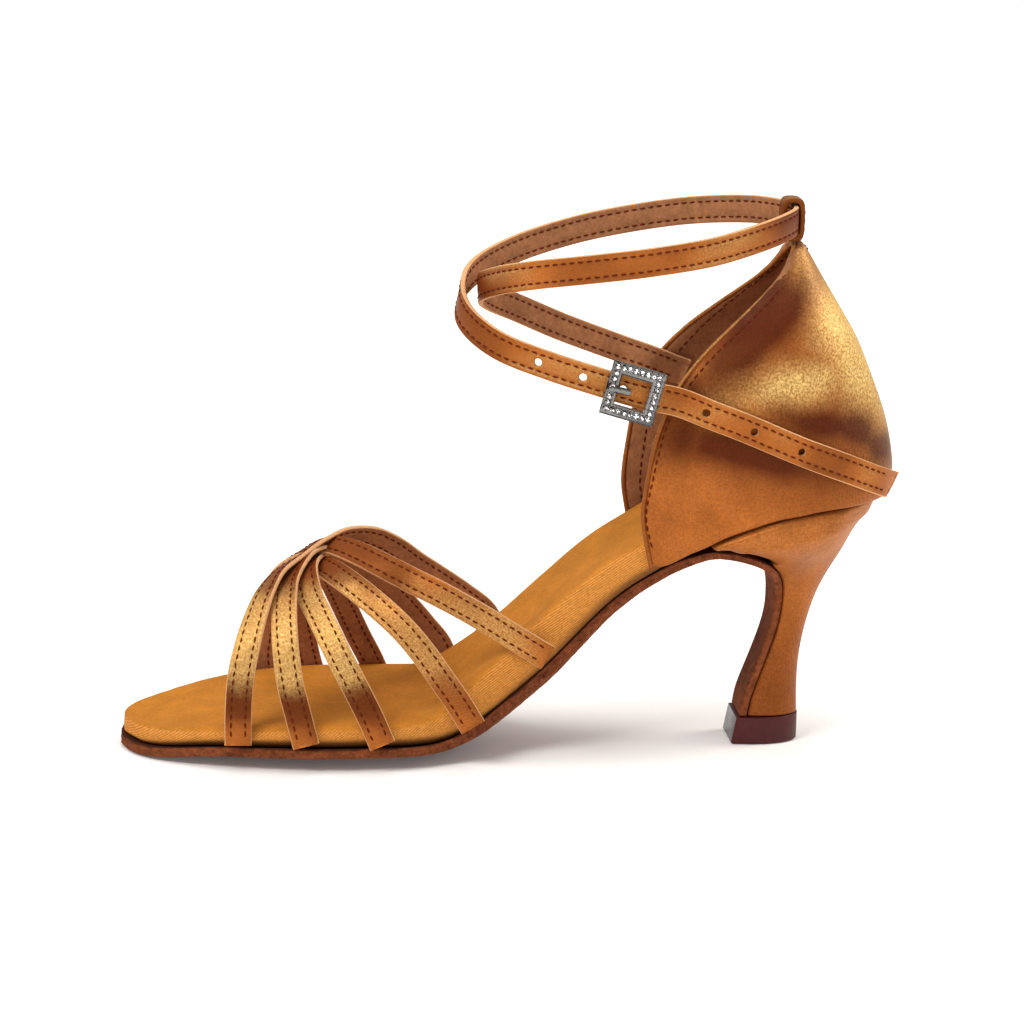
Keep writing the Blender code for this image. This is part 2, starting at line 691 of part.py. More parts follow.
def wall_point(x, z, side, face, distance):
    """A point off the counter's outside (1) or lining (-1), with the wall's normal there."""
    start = Vector((x, side * ANKLE_WIDTH if face > 0 else 0, z))
    hit, normal, _, _ = counter_walls[face].ray_cast(start, Vector((0, -side * face, 0)))
    normal = np.array(normal)
    normal *= math.copysign(1, normal[1] * side * face)
    return np.array(hit) + normal * distance, normal * face


def ankle_path():
    """Middle line of the ankle strap, with the outward direction at each point."""
    centre, length = place(0.65), 0.235 * SHOE_LENGTH
    points, outs = [], []
    for along, side, height, rests, stand in ANKLE_STRAP_ROUTE:
        x, y, z = place(along), side * ANKLE_WIDTH / 2, HEEL_HEIGHT + height * COLLAR_HEIGHT
        out = np.array([(x - centre) / length**2, y / (ANKLE_WIDTH / 2) ** 2, 0])
        point = np.array([x, y, z])
        if rests:
            off = GAP + STRAP_EASE + (0.5 + stand) * ANKLE_STRAP_THICKNESS
            point, out = wall_point(x, z, math.copysign(1, side), rests, off)
        points.append(point)
        outs.append(out / np.linalg.norm(out))
    count = ANKLE_STEPS
    both = through([np.concatenate([point, out * 0.001]) for point, out in zip(points, outs)], count)
    return both[:, :3], both[:, 3:] / np.linalg.norm(both[:, 3:], axis=1, keepdims=True)


def make_ankle_strap():
    path, outs = ankle_path()
    shade = material("satin_ankle_strap", "B56E2C", 0.35)
    return band("ankle_strap", path, outs, ANKLE_STRAP_WIDTH, ANKLE_STRAP_THICKNESS, shade)


def strap_frame(where):
    """Place, direction, width direction and outward direction at a share of the ankle strap's length."""
    path, outs = ankle_path()
    spot = where * (len(path) - 1)
    low = int(spot)
    point = path[low] + (path[low + 1] - path[low]) * (spot - low)
    along = path[low + 1] - path[low]
    along /= np.linalg.norm(along)
    out = outs[low] - along * (outs[low] @ along)
    out /= np.linalg.norm(out)
    return point, along, np.cross(along, out), out


def make_back_loop():
    """The loop on top of the counter that the ankle strap runs through, closed round the strap."""
    path, _ = ankle_path()
    held = path[path[:, 2] > HEEL_HEIGHT + COLLAR_HEIGHT]
    backmost = int(held[:, 0].argmax())
    held = held[backmost - 4 : backmost + 5]
    ends = [-LOOP_WIDTH / 2, 0, LOOP_WIDTH / 2]
    rows = [np.interp(ends, held[:, 1], held[:, i]) for i in (0, 2)]
    centre = np.array([(rows[0].min() + rows[0].max()) / 2, 0, (rows[1].min() + rows[1].max()) / 2])
    deep = (np.ptp(rows[0]) + ANKLE_STRAP_THICKNESS) / 2 + 2 * STRAP_EASE + GAP
    tall = (np.ptp(rows[1]) + ANKLE_STRAP_WIDTH) / 2 + STRAP_EASE + GAP
    sections = []
    for i in range(LOOP_STEPS):
        angle = 2 * math.pi * i / LOOP_STEPS
        across, up = math.cos(angle), math.sin(angle)
        round_x = math.copysign(abs(across) ** 0.5, across)
        round_z = math.copysign(abs(up) ** 0.5, up)
        inside = centre + np.array([round_x * deep, 0, round_z * tall])
        outside = centre + np.array([round_x * (deep + LOOP_THICKNESS), 0, round_z * (tall + LOOP_THICKNESS)])
        sections.append((inside, outside))
    mesh = bmesh.new()
    half = np.array([0, LOOP_WIDTH / 2, 0])
    loops = [[mesh.verts.new(p) for p in (a - half, a + half, b + half, b - half)] for a, b in sections]
    for a, b in zip(loops, loops[1:] + loops[:1]):
        for i in range(4):
            j = (i + 1) % 4
            mesh.faces.new((a[i], a[j], b[j], b[i]))
    return finished("back_loop", mesh, material("satin_back_loop", "B56E2C", 0.35))


def square_ring(centre, along, across, out, outer, inner, low, high):
    """Corner points of a square frame, its inner and outer corners on two levels."""
    rings = []
    for corner in ((-1, -1), (1, -1), (1, 1), (-1, 1)):
        spots = []
        for size, level in ((inner, low), (outer, low), (outer, high), (inner, high)):
            spots.append(centre + along * corner[0] * size / 2 + across * corner[1] * size / 2 + out * level)
        rings.append(spots)
    return rings


def make_buckle():
    """The square frame over the strap, and the prong that rests on its front bar."""
    point, along, across, out = strap_frame(BUCKLE_PLACE)
    low = ANKLE_STRAP_THICKNESS / 2 + GAP + STRAP_EASE
    high = low + BUCKLE_THICKNESS
    inner = BUCKLE_SIZE - 2 * BUCKLE_BAR
    mesh = bmesh.new()
    rings = square_ring(point, along, across, out, BUCKLE_SIZE, inner, low, high)
    loops = [[mesh.verts.new(spot) for spot in ring] for ring in rings]
    for a, b in zip(loops, loops[1:] + loops[:1]):
        for i in range(4):
            j = (i + 1) % 4
            mesh.faces.new((a[i], a[j], b[j], b[i]))
    silver = material("plated_buckle", "C9C8C4", 0.2, 1.0)
    finished("buckle_frame", mesh, silver)

    radius = PRONG_DIAMETER / 2
    level = low + radius
    over = high + GAP + radius
    route = (
        (inner / 2 - GAP - radius, level),
        (inner / 4, level),
        (-inner / 4, level + 0.4 * (over - level)),
        (-inner / 2 + 0.0002, over),
        (-inner / 2 - 0.8 * BUCKLE_BAR, over),
    )
    middle = through([point + along * run + out * rise for run, rise in route], PRONG_STEPS)
    sides = [math.pi / 4 * i for i in range(8)]
    rings = []
    for i, spot in enumerate(middle):
        ahead = middle[min(i + 1, len(middle) - 1)] - middle[max(i - 1, 0)]
        ahead /= np.linalg.norm(ahead)
        up = np.cross(ahead, across)
        rings.append([spot + (across * math.cos(a) + up * math.sin(a)) * radius for a in sides])
    loft("buckle_prong", rings, material("plated_prong", "C9C8C4", 0.2, 1.0))


def make_buckle_strap():
    """The short strap, sewn to the counter's front edge, that holds the buckle under the long strap."""
    start = BUCKLE_PLACE + 0.006
    path, _ = ankle_path()
    step = BUCKLE_STRAP_LENGTH / np.linalg.norm(np.diff(path, axis=0), axis=1).sum()
    drop = ANKLE_STRAP_THICKNESS / 2 + GAP + STRAP_EASE + BUCKLE_STRAP_THICKNESS / 2
    points, outs = [], []
    for i in range(5):
        point, _, _, out = strap_frame(start + step * i / 4)
        points.append(point - out * drop)
        outs.append(out)
    shade = material("satin_buckle_strap", "B56E2C", 0.35)
    return band("buckle_strap", np.array(points), outs, ANKLE_STRAP_WIDTH, BUCKLE_STRAP_THICKNESS, shade)


def reset_scene():
    for thing in list(bpy.data.objects):
        bpy.data.objects.remove(thing, do_unlink=True)


reset_scene()
parts = new_collection("latin_dance_sandal")
cutters = new_collection("cutters")
counter_walls = {}
make_insole()
make_outsole()
make_heel()
make_heel_tip()
make_counter()
make_vamp()
make_ankle_strap()
make_back_loop()
make_buckle()
make_buckle_strap()
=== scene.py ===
"""Looks of a ballroom dance sandal: sewn satin straps, a suede footbed, a covered heel and a set buckle."""

import math

import bmesh
import bpy
import numpy as np
from bpy.props import FloatProperty, FloatVectorProperty, IntProperty, PointerProperty
from mathutils import Matrix, Vector, noise
from mathutils.bvhtree import BVHTree


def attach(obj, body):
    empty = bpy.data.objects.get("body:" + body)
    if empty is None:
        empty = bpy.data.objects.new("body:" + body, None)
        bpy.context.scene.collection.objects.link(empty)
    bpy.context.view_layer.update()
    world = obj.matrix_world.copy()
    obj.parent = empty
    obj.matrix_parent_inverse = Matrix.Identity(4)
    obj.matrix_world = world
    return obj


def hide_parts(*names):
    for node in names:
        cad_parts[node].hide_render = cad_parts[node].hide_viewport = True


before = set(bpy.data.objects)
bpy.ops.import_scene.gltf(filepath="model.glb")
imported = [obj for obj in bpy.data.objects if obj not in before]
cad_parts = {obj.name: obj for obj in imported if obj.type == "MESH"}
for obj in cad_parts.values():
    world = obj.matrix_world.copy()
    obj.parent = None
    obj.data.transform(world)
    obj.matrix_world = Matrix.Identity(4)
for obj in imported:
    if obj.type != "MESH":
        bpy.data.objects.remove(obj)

bl_info = {
    "name": "Ballroom dance sandal",
    "version": (1, 0, 0),
    "blender": (4, 5, 0),
    "location": "View3D > Sidebar > Sandal",
    "description": "Satin, suede, stitching and buckle of a ballroom dance sandal",
    "category": "Object",
}

MM = 0.001

# Driving sizes of the solids, in mm, and the place of the ball as a share of the length from the toe.
SHOE_LENGTH = 215.2
BALL_SHARE = 0.24
HEEL_HEIGHT = 70.0
COLLAR_HEIGHT = 73.0
ANKLE_WIDTH = 58.0
ANKLE_MIDDLE = 0.65
ANKLE_REACH = 0.235
STRAP_ON_WALL = 1.4
STRAP_ON_STRAP = 1.8

# Places of each forefoot strap, from its outer end over the instep to its inner end, in mm.
FOREFOOT_STRAPS = (
    # lean towards the toe, middle of the foot under it, places
    (1.0, -8, (
        (-19.8, -35.9, 7.5), (-19.8, -35.9, 19.6), (-19.3, -35.5, 25.8), (-18.2, -34.2, 31.8),
        (-16.5, -31.0, 38.4), (-14.4, -26.3, 44.0), (-11.8, -20.0, 48.5), (-8.2, -13.0, 51.4),
        (-3.5, -9.0, 53.8), (1.9, -2.0, 55.5), (7.4, 5.0, 57.0), (14.7, 10.0, 57.1), (22.8, 15.0, 53.3),
        (31.5, 20.0, 46.1), (40.1, 23.5, 39.8), (48.0, 25.5, 34.0), (52.9, 26.6, 29.3), (55.5, 26.6, 20.8),
    )),
    (0.7, -4, (
        (-1.2, -37.7, 7.7), (-5.7, -37.4, 24.9), (-6.9, -35.3, 32.8), (-7.4, -31.7, 39.0),
        (-7.5, -25.9, 44.6), (-6.7, -18.9, 48.6), (-5.0, -10.9, 51.0), (-2.4, -9.0, 53.8), (2.0, -1.0, 53.8),
        (8.3, 7.0, 51.0), (16.5, 15.0, 45.0), (24.1, 22.0, 38.1), (31.1, 27.0, 30.2), (36.5, 30.0, 23.1),
        (41.1, 31.5, 16.7), (41.5, 32.3, 10.1),
    )),
    (0.6, -4, (
        (19.7, -38.0, 8.0), (15.0, -38.0, 18.8), (10.5, -37.2, 27.0), (6.2, -33.7, 34.9), (3.1, -28.4, 40.6),
        (0.6, -22.4, 44.5), (-0.9, -15.5, 47.1), (-1.3, -13.0, 50.8), (-0.2, -6.0, 52.2), (2.5, 2.0, 50.6),
        (5.7, 11.0, 45.7), (8.9, 20.0, 37.7), (12.5, 27.0, 29.0), (16.1, 31.0, 20.9), (19.2, 33.0, 14.8),
        (22.0, 37.8, 7.5),
    )),
    (0.5, -2, (
        (44.8, -34.0, 12.1), (41.7, -34.0, 17.4), (36.8, -33.8, 24.4), (31.2, -32.0, 32.1),
        (25.5, -28.6, 38.3), (19.7, -24.3, 43.0), (14.0, -19.0, 46.7), (8.3, -13.0, 49.8), (3.3, -6.0, 51.4),
        (0.0, 1.0, 50.1), (-2.2, 9.0, 45.4), (-2.6, 19.0, 37.5), (-1.8, 27.0, 28.9), (-0.5, 31.5, 21.9),
        (0.9, 34.0, 15.2), (3.0, 37.6, 7.5),
    )),
    (0.5, 7, (
        (65.8, -26.2, 29.9), (58.0, -25.1, 34.4), (49.6, -23.1, 39.3), (41.7, -20.7, 43.4),
        (33.9, -17.8, 47.0), (26.4, -14.2, 49.9), (19.5, -11.5, 53.0), (13.3, -7.0, 55.1), (7.9, -2.5, 56.2),
        (2.8, 2.0, 55.3), (-2.0, 8.0, 52.2), (-6.3, 17.0, 45.4), (-9.3, 25.0, 36.8), (-11.0, 30.0, 28.2),
        (-12.1, 33.0, 19.9), (-13.1, 34.5, 12.0), (-11.8, 35.7, 7.4),
    )),
)
FOREFOOT_ROWS = 17

# Height of the instep's core, which the straps face away from: over the ball, and its slope along the shoe.
CORE_HEIGHT = 31.0
CORE_SLOPE = 0.3

# Where along the shoe the straps stop leaning towards the toe, and how softly, in mm.
LEAN_END = 45.0
LEAN_FADE = 30.0

# Distance between two sections of a swept strap.
STRAP_STEP = 0.0016

# Route of the ankle strap's middle, from inside the counter twice round the ankle to its free end.
# along: share of length; side: share of half the ankle width; height: share of the collar height over the
# heel; rests: -1 on the counter's lining, 1 on its outside; stand: strap thicknesses held off that wall
ANKLE_ROUTE = (
    # along, side, height, rests, stand
    (0.742, 1.000, 0.440, -1, 0),
    (0.718, 1.000, 0.468, -1, 0),
    (0.690, 0.745, 0.500, 0, 0),
    (0.652, 0.800, 0.535, 0, 0),
    (0.574, 0.690, 0.622, 0, 0),
    (0.513, 0.480, 0.706, 0, 0),
    (0.470, 0.180, 0.770, 0, 0),
    (0.456, -0.080, 0.815, 0, 0),
    (0.472, -0.420, 0.862, 0, 0),
    (0.513, -0.760, 0.905, 0, 0),
    (0.588, -1.000, 0.945, 0, 0),
    (0.664, -1.020, 0.975, 0, 0),
    (0.743, -0.890, 1.010, 0, 0),
    (0.815, -0.560, 1.055, 0, 0),
    (0.856, -0.240, 1.085, 0, 0),
    (0.864, 0.000, 1.095, 0, 0),
    (0.856, 0.240, 1.100, 0, 0),
    (0.815, 0.600, 1.100, 0, 0),
    (0.743, 0.930, 1.075, 0, 0),
    (0.664, 1.020, 1.035, 0, 0),
    (0.588, 0.930, 0.990, 0, 0),
    (0.510, 0.650, 0.930, 0, 0),
    (0.453, 0.250, 0.865, 0, 0),
    (0.430, -0.150, 0.795, 0, 0),
    (0.436, -0.500, 0.720, 0, 0),
    (0.475, -0.790, 0.640, 0, 0),
    (0.540, -0.960, 0.575, 0, 0),
    (0.605, -1.040, 0.520, 0, 0),
    (0.655, -1.070, 0.480, 0, 0),
    (0.705, -1.000, 0.440, 1, 1),
    (0.745, -1.000, 0.405, 1, 1),
    (0.790, -1.000, 0.355, 1, 0),
    (0.860, -1.000, 0.270, 1, 0),
    (0.920, -1.000, 0.195, 1, 0),
    (0.965, -1.000, 0.135, 1, 0),
    (0.990, -1.000, 0.100, 1, 0),
)

# Half of a strap's cross-section: share of half the width, share of half the thickness.
STRAP_SECTION = (
    (1.00, 0.00),
    (0.985, 0.55),
    (0.94, 0.90),
    (0.86, 1.00),
    (0.70, 0.98),
    (0.58, 0.78),
    (0.46, 0.98),
    (0.24, 1.04),
    (0.00, 1.05),
)

# Punched holes of the ankle strap, as distances from its free end in mm.
PUNCHED_HOLES = (38.2, 52.4, 66.3, 91.6, 101.9, 114.8)

# Half of the counter's rim, from its outer lower end up to the back loop, in the shares of the strap's route.
COUNTER_RIM = (
    # along, side, height
    (0.677, 0.848, -0.205),
    (0.668, 0.841, -0.085),
    (0.664, 0.845, 0.010),
    (0.668, 0.872, 0.134),
    (0.680, 0.903, 0.326),
    (0.705, 0.869, 0.495),
    (0.738, 0.776, 0.615),
    (0.776, 0.648, 0.716),
    (0.814, 0.490, 0.811),
    (0.830, 0.407, 0.855),
    (0.843, 0.331, 0.895),
    (0.851, 0.269, 0.930),
    (0.859, 0.159, 0.970),
    (0.863, 0.055, 0.992),
)


def linear(colour):
    """An sRGB hex colour as the linear RGB that Blender's sockets take."""
    channels = [int(colour[i : i + 2], 16) / 255 for i in (1, 3, 5)]
    return [c / 12.92 if c <= 0.04045 else ((c + 0.055) / 1.055) ** 2.4 for c in channels]


def colour_property(name, description, colour):
    return FloatVectorProperty(
        name=name, description=description, default=linear(colour), subtype="COLOR", size=3, min=0, max=1
    )


def size_property(name, description, default):
    return FloatProperty(name=name, description=description, default=default * MM, unit="LENGTH", precision=5)


class SandalColours(bpy.types.PropertyGroup):
    satin: colour_property("Satin", "Body colour of the satin", "#B4652C")
    # The highlight colour is laid into the satin as painted highlight and also tints its specular sheen; the
    # dark colour is laid as painted shade and also gives the satin's random dark tone.
    gold: colour_property("Satin gold", "Where the satin's face threads catch the light", "#EAC67A")
    shade_and_dark_tone: colour_property("Satin rust", "Where the satin turns away from the light", "#501508")
    lining: colour_property("Lining", "Microfibre on the inner side of straps and counter", "#A8704A")
    footbed: colour_property("Footbed", "Suede on top of the insole", "#BE7826")
    # The wrap's colour is lighter than the footbed's as painted light: it lifts the shade on the insole's side,
    # which faces down.
    wrap: colour_property("Insole wrap", "Ribbed cloth round the insole's side", "#D48A3C")
    split: colour_property("Outsole", "Split suede of the outsole", "#8A4A2A")
    # Darker colour laid where the insole and the outsole meet: on the insole's down-turned faces and the
    # outsole's upturned faces.
    seam_dark: colour_property("Seam line", "Dark line where the outsole meets the insole", "#3A1A10")
    cut_edge: colour_property("Cut edge", "Edge of a strap where its layers show", "#D09A68")
    thread: colour_property("Thread", "Sewing thread", "#5E220E")
    rubber: colour_property("Heel tip", "Rubber of the heel tip", "#4A1615")
    # Grey of the heel tip's front: painted reflection of the floor.
    front_reflection: colour_property("Reflecting rubber", "Front of the heel tip, lighted by the floor", "#40383A")
    plate: colour_property("Plate", "Nickel plate of the buckle", "#7C7A78")
    floor: colour_property("Floor", "Studio floor", "#F4F3F2")


class SandalSizes(bpy.types.PropertyGroup):
    strap_width: size_property("Strap width", "Width of the forefoot straps", 7.4)
    strap_thickness: size_property("Strap thickness", "Thickness of the forefoot straps", 1.3)
    ankle_width: size_property("Ankle strap width", "Width of the ankle strap", 8.0)
    ankle_thickness: size_property("Ankle strap thickness", "Thickness of the ankle strap", 1.5)
    stitch_inset: size_property("Stitch inset", "Distance of a seam from the strap's edge", 1.75)
    stitch_pitch: size_property("Stitch pitch", "Distance from one stitch to the next", 2.4)
    stitch_length: size_property("Stitch length", "Length of thread that shows in a stitch", 1.7)
    thread_radius: size_property("Thread radius", "Radius of the sewing thread", 0.3)
    piping_radius: size_property("Piping radius", "Radius of the rolled edge round the counter", 0.55)
    hole_radius: size_property("Hole radius", "Radius of a punched hole", 1.1)
    stone_radius: size_property("Stone radius", "Radius of a stone on the buckle", 0.84)
    satin_thread: size_property("Satin thread", "Spacing of the twill lines, drawn coarse enough to show", 0.42)
    rib: size_property("Rib", "Spacing of the ribs on the insole's wrap", 0.6)
    stones_a_side: IntProperty(
        name="Stones a side", description="Stones along one side of the buckle", default=8
    )


def colours():
    return bpy.context.scene.sandal_colours


def sizes():
    return bpy.context.scene.sandal_sizes


def add(tree, kind, settings=None, **inputs):
    """Adds a node with its settings, and gives each input a value or a link."""
    made = tree.nodes.new("ShaderNode" + kind)
    for key, value in (settings or {}).items():
        setattr(made, key, value)
    for key, value in inputs.items():
        number = key.removeprefix("input_")
        socket = made.inputs[int(number)] if number.isdigit() else made.inputs[key.replace("_", " ")]
        if isinstance(value, bpy.types.NodeSocket):
            tree.links.new(value, socket)
        else:
            socket.default_value = value
    return made


def ramp(tree, value, stops):
    """A colour ramp with these (position, linear colour) stops."""
    made = add(tree, "ValToRGB", Fac=value)
    bands = made.color_ramp.elements
    while len(bands) < len(stops):
        bands.new(0.5)
    for band, (position, colour) in zip(bands, stops):
        band.position = position
        band.color = (*colour, 1) if hasattr(colour, "__len__") else (colour, colour, colour, 1)
    return made.outputs["Color"]


def new_material(name):
    """A material's node tree, its shader and itself."""
    made = bpy.data.materials.new(name)
    made.use_nodes = True
    tree = made.node_tree
    return made, tree, tree.nodes["Principled BSDF"]


def finish_shader(tree, shader, colour, height=None, distance=0.0002, strength=1.0, **values):
    """Links colour and bump, and sets the shader's own numbers."""
    if colour is not None:
        tree.links.new(colour, shader.inputs["Base Color"])
    if height is not None:
        bump = add(tree, "Bump", Height=height, Distance=distance, Strength=strength)
        tree.links.new(bump.outputs["Normal"], shader.inputs["Normal"])
    for key, value in values.items():
        socket = shader.inputs[key.replace("_", " ")]
        if isinstance(value, bpy.types.NodeSocket):
            tree.links.new(value, socket)
        else:
            socket.default_value = value


def mixed(tree, amount, first, second, kind="MIX"):
    """One colour mixed over another by an amount."""
    kinds = {"data_type": "RGBA", "blend_type": kind}
    made = add(tree, "Mix", kinds, input_0=amount, input_6=first, input_7=second)
    return made.outputs[2]


def rgba(colour):
    return (*colour, 1.0)


def layer_amounts(tree, tones):
    """The red and green amounts of the named colour layer; on the satin they are the amounts of painted
    highlight and of painted shade.
    """
    made = add(tree, "Attribute", {"attribute_name": tones})
    parts = add(tree, "SeparateColor", Color=made.outputs["Color"])
    return parts.outputs["Red"], parts.outputs["Green"]


def curve_through(rows, count):
    """count rows, evenly spaced along a smooth curve through a table's points, in metres."""
    points = [np.array(row, float) for row in rows]
    ends = [points[0] * 2 - points[1], *points, points[-1] * 2 - points[-2]]
    fine = []
    for a, b, c, d in zip(ends, ends[1:], ends[2:], ends[3:]):
        for t in np.linspace(0, 1, 10, endpoint=False):
            bend = (2 * a - 5 * b + 4 * c - d) * t**2 + (3 * b - a - 3 * c + d) * t**3
            fine.append((2 * b + (c - a) * t + bend) / 2)
    fine = np.array([*fine, points[-1]])
    fine[:, :3] *= MM
    run = np.concatenate([[0], np.cumsum(np.linalg.norm(np.diff(fine[:, :3], axis=0), axis=1))])
    wanted = np.linspace(0, run[-1], count)
    return np.stack([np.interp(wanted, run, fine[:, i]) for i in range(fine.shape[1])], 1), wanted


def upper_place(along, side, height):
    """A place on the upper in mm, from its shares of the length, of half the ankle width and of the collar."""
    return (along - BALL_SHARE) * SHOE_LENGTH, side * ANKLE_WIDTH / 2, HEEL_HEIGHT + height * COLLAR_HEIGHT


def forefoot_line(lean, middle, places):
    """A forefoot strap's places at even steps, each with the direction that its satin side faces."""
    points = np.array(places, float)
    run = np.concatenate([[0], np.cumsum(np.linalg.norm(np.diff(points, axis=0), axis=1))])
    rows = []
    for at in np.linspace(0, run[-1], FOREFOOT_ROWS):
        x, y, z = (np.interp(at, run, points[:, i]) for i in range(3))
        up = max(0, z - CORE_HEIGHT - CORE_SLOPE * x)
        forward = lean * min(max((LEAN_END - x) / LEAN_FADE, 0), 1)
        rows.append((x, y, z, *Vector((-forward * up, y - middle, up)).normalized()))
    return rows


def ankle_line():
    """The ankle strap's route in mm, off the wall where it rests on one, with the direction it faces."""
    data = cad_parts["counter"].data
    corners = [vertex.co for vertex in data.vertices]
    wall = BVHTree.FromPolygons(corners, [face.vertices for face in data.polygons])
    centre, _, _ = upper_place(ANKLE_MIDDLE, 0, 0)
    reach = ANKLE_REACH * SHOE_LENGTH
    rows = []
    for along, side, height, rests, stand in ANKLE_ROUTE:
        place = Vector(upper_place(along, side, height))
        out = Vector(((place.x - centre) / reach**2, place.y / (ANKLE_WIDTH / 2) ** 2, 0))
        if rests:
            beside = math.copysign(1, side)
            start = Vector((place.x, beside * ANKLE_WIDTH if rests > 0 else 0, place.z)) * MM
            hit, normal, _, _ = wall.ray_cast(start, Vector((0, -beside * rests, 0)))
            out = normal * math.copysign(1, normal.y * beside)
            place = hit / MM + out * rests * (STRAP_ON_WALL + stand * STRAP_ON_STRAP)
        rows.append((*place, *out.normalized()))
    return rows


def strap_frames(rows):
    """Frames at even steps along a strap: X across it, Y towards the satin side, Z along it."""
    run = curve_through(rows, 8)[1]
    table, run = curve_through(rows, max(8, round(run[-1] / STRAP_STEP)))
    ahead = np.gradient(table[:, :3], axis=0)
    frames = []
    for point, way, out in zip(table[:, :3], ahead, table[:, 3:]):
        way = Vector(way).normalized()
        out = Vector(out)
        out = (out - way * out.dot(way)).normalized()
        across = out.cross(way)
        place = Matrix((across, out, way)).transposed().to_4x4()
        place.translation = point
        frames.append(place)
    return frames, run


def start_mesh():
    mesh = bmesh.new()
    mesh.loops.layers.uv.new("UVMap")
    return mesh


def swept(mesh, section, frames, run, materials=None):
    """Sweeps a closed section along frames, with the run along it and the place round it in its UV map."""
    layer = mesh.loops.layers.uv.active
    ring = [mesh.verts.new(frames[0] @ Vector((x, y, 0))) for x, y in section]
    first = [mesh.edges.new((a, b)) for a, b in zip(ring, ring[1:] + ring[:1])]
    start, edges = list(ring), first
    for number, (place, before, here) in enumerate(zip(frames[1:], run, run[1:])):
        made = bmesh.ops.extrude_edge_only(mesh, edges=edges)["geom"]
        fresh = {v for v in made if isinstance(v, bmesh.types.BMVert)}
        faces = [f for f in made if isinstance(f, bmesh.types.BMFace)]
        ahead = []
        for corner in ring:
            beside = (edge.other_vert(corner) for edge in corner.link_edges)
            ahead.append(next(other for other in beside if other in fresh))
        for corner, (x, y) in zip(ahead, section):
            corner.co = place @ Vector((x, y, 0))
        index = {corner: (i, here) for i, corner in enumerate(ahead)}
        index.update({corner: (i, before) for i, corner in enumerate(ring)})
        for face in faces:
            spots = [index[loop.vert][0] for loop in face.loops]
            turned = max(spots) - min(spots) > len(section) / 2
            for loop in face.loops:
                i, along = index[loop.vert]
                loop[layer].uv = (along, section[i][0])
            if materials:
                low, high = min(spots), max(spots)
                face.material_index = materials[high if turned else low]
        ring = ahead
        edges = [mesh.edges.get((a, b)) for a, b in zip(ring, ring[1:] + ring[:1])]
    for loop in (start, ring):
        cap = bmesh.ops.contextual_create(mesh, geom=loop)["faces"]
        for face in cap:
            face.material_index = max(materials) if materials else 0
    return start, ring


def strap_section(width, thickness):
    """A strap's cross-section with its two sewn channels, and the material of each of its faces."""
    quarter = [(x * width / 2, y * thickness / 2) for x, y in STRAP_SECTION]
    right = quarter + [(-x, y) for x, y in quarter[-2::-1]]
    section = right + [(x, -y) for x, y in right[-2:0:-1]]
    kinds = []
    count = len(section)
    for i in range(count):
        x = (section[i][0] + section[(i + 1) % count][0]) / width
        y = (section[i][1] + section[(i + 1) % count][1]) / thickness
        kinds.append(2 if abs(x) > 0.955 and abs(y) < 0.94 else (0 if y > 0 else 1))
    return section, kinds


def settle(mesh, name, materials):
    """Turns a finished bmesh into a piece that rides on the shoe."""
    bmesh.ops.remove_doubles(mesh, verts=mesh.verts[:], dist=0.000002)
    bmesh.ops.recalc_face_normals(mesh, faces=mesh.faces[:])
    data = bpy.data.meshes.new(name)
    mesh.to_mesh(data)
    mesh.free()
    for material in materials:
        data.materials.append(material)
    data.shade_smooth()
    piece = bpy.data.objects.new(name, data)
    bpy.context.scene.collection.objects.link(piece)
    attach(piece, "root")
    return piece


def dressed(node, name, materials, merge=0.00002):
    """A merged copy of a CAD node as quads, ready to be smoothed and detailed."""
    mesh = bmesh.new()
    mesh.from_mesh(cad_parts[node].data)
    bmesh.ops.remove_doubles(mesh, verts=mesh.verts[:], dist=merge)
    bmesh.ops.join_triangles(
        mesh, faces=mesh.faces[:], angle_face_threshold=math.radians(25), angle_shape_threshold=math.radians(60)
    )
    data = bpy.data.meshes.new(name)
    mesh.to_mesh(data)
    mesh.free()
    for material in materials:
        data.materials.append(material)
    data.shade_smooth()
    piece = bpy.data.objects.new(name, data)
    bpy.context.scene.collection.objects.link(piece)
    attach(piece, "root")
    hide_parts(node)
    return piece


def smoothed(piece, levels, crease_angle=None):
    """Subdivides a piece and applies it; edges sharper than the angle stay crisp."""
    if crease_angle is not None:
        mesh = bmesh.new()
        mesh.from_mesh(piece.data)
        crease = mesh.edges.layers.float.new("crease_edge")
        for edge in mesh.edges:
            if len(edge.link_faces) == 2 and edge.calc_face_angle(0) > math.radians(crease_angle):
                edge[crease] = 0.7
        mesh.to_mesh(piece.data)
        mesh.free()
    bend = piece.modifiers.new("Rounded", "SUBSURF")
    bend.levels = bend.render_levels = levels
    apply_modifiers(piece)


def apply_modifiers(piece):
    """Puts the shape that a piece's modifiers make into its mesh."""
    bpy.context.view_layer.update()
    evaluated = piece.evaluated_get(bpy.context.evaluated_depsgraph_get())
    data = bpy.data.meshes.new_from_object(evaluated)
    old = piece.data
    piece.modifiers.clear()
    piece.data = data
    bpy.data.meshes.remove(old)


def band(value, low, high, soft):
    """1 between low and high and 0 outside, with soft ends."""
    up = min(max((value - low) / soft + 0.5, 0), 1)
    down = min(max((high - value) / soft + 0.5, 0), 1)
    return up * up * (3 - 2 * up) * down * down * (3 - 2 * down)


def paint(piece, name, tone_at):
    """Stores a colour for each vertex, from its place and normal."""
    layer = piece.data.attributes.new(name, "FLOAT_COLOR", "POINT")
    for vertex, value in zip(piece.data.vertices, layer.data):
        value.color = (*tone_at(vertex.co / MM, vertex.normal), 1)


def moved(piece, shift_at):
    """Moves each vertex along its normal by a distance that depends on its place."""
    before = [(vertex.co.copy(), vertex.normal.copy()) for vertex in piece.data.vertices]
    for vertex, (place, normal) in zip(piece.data.vertices, before):
        vertex.co = place + normal * shift_at(place, normal)


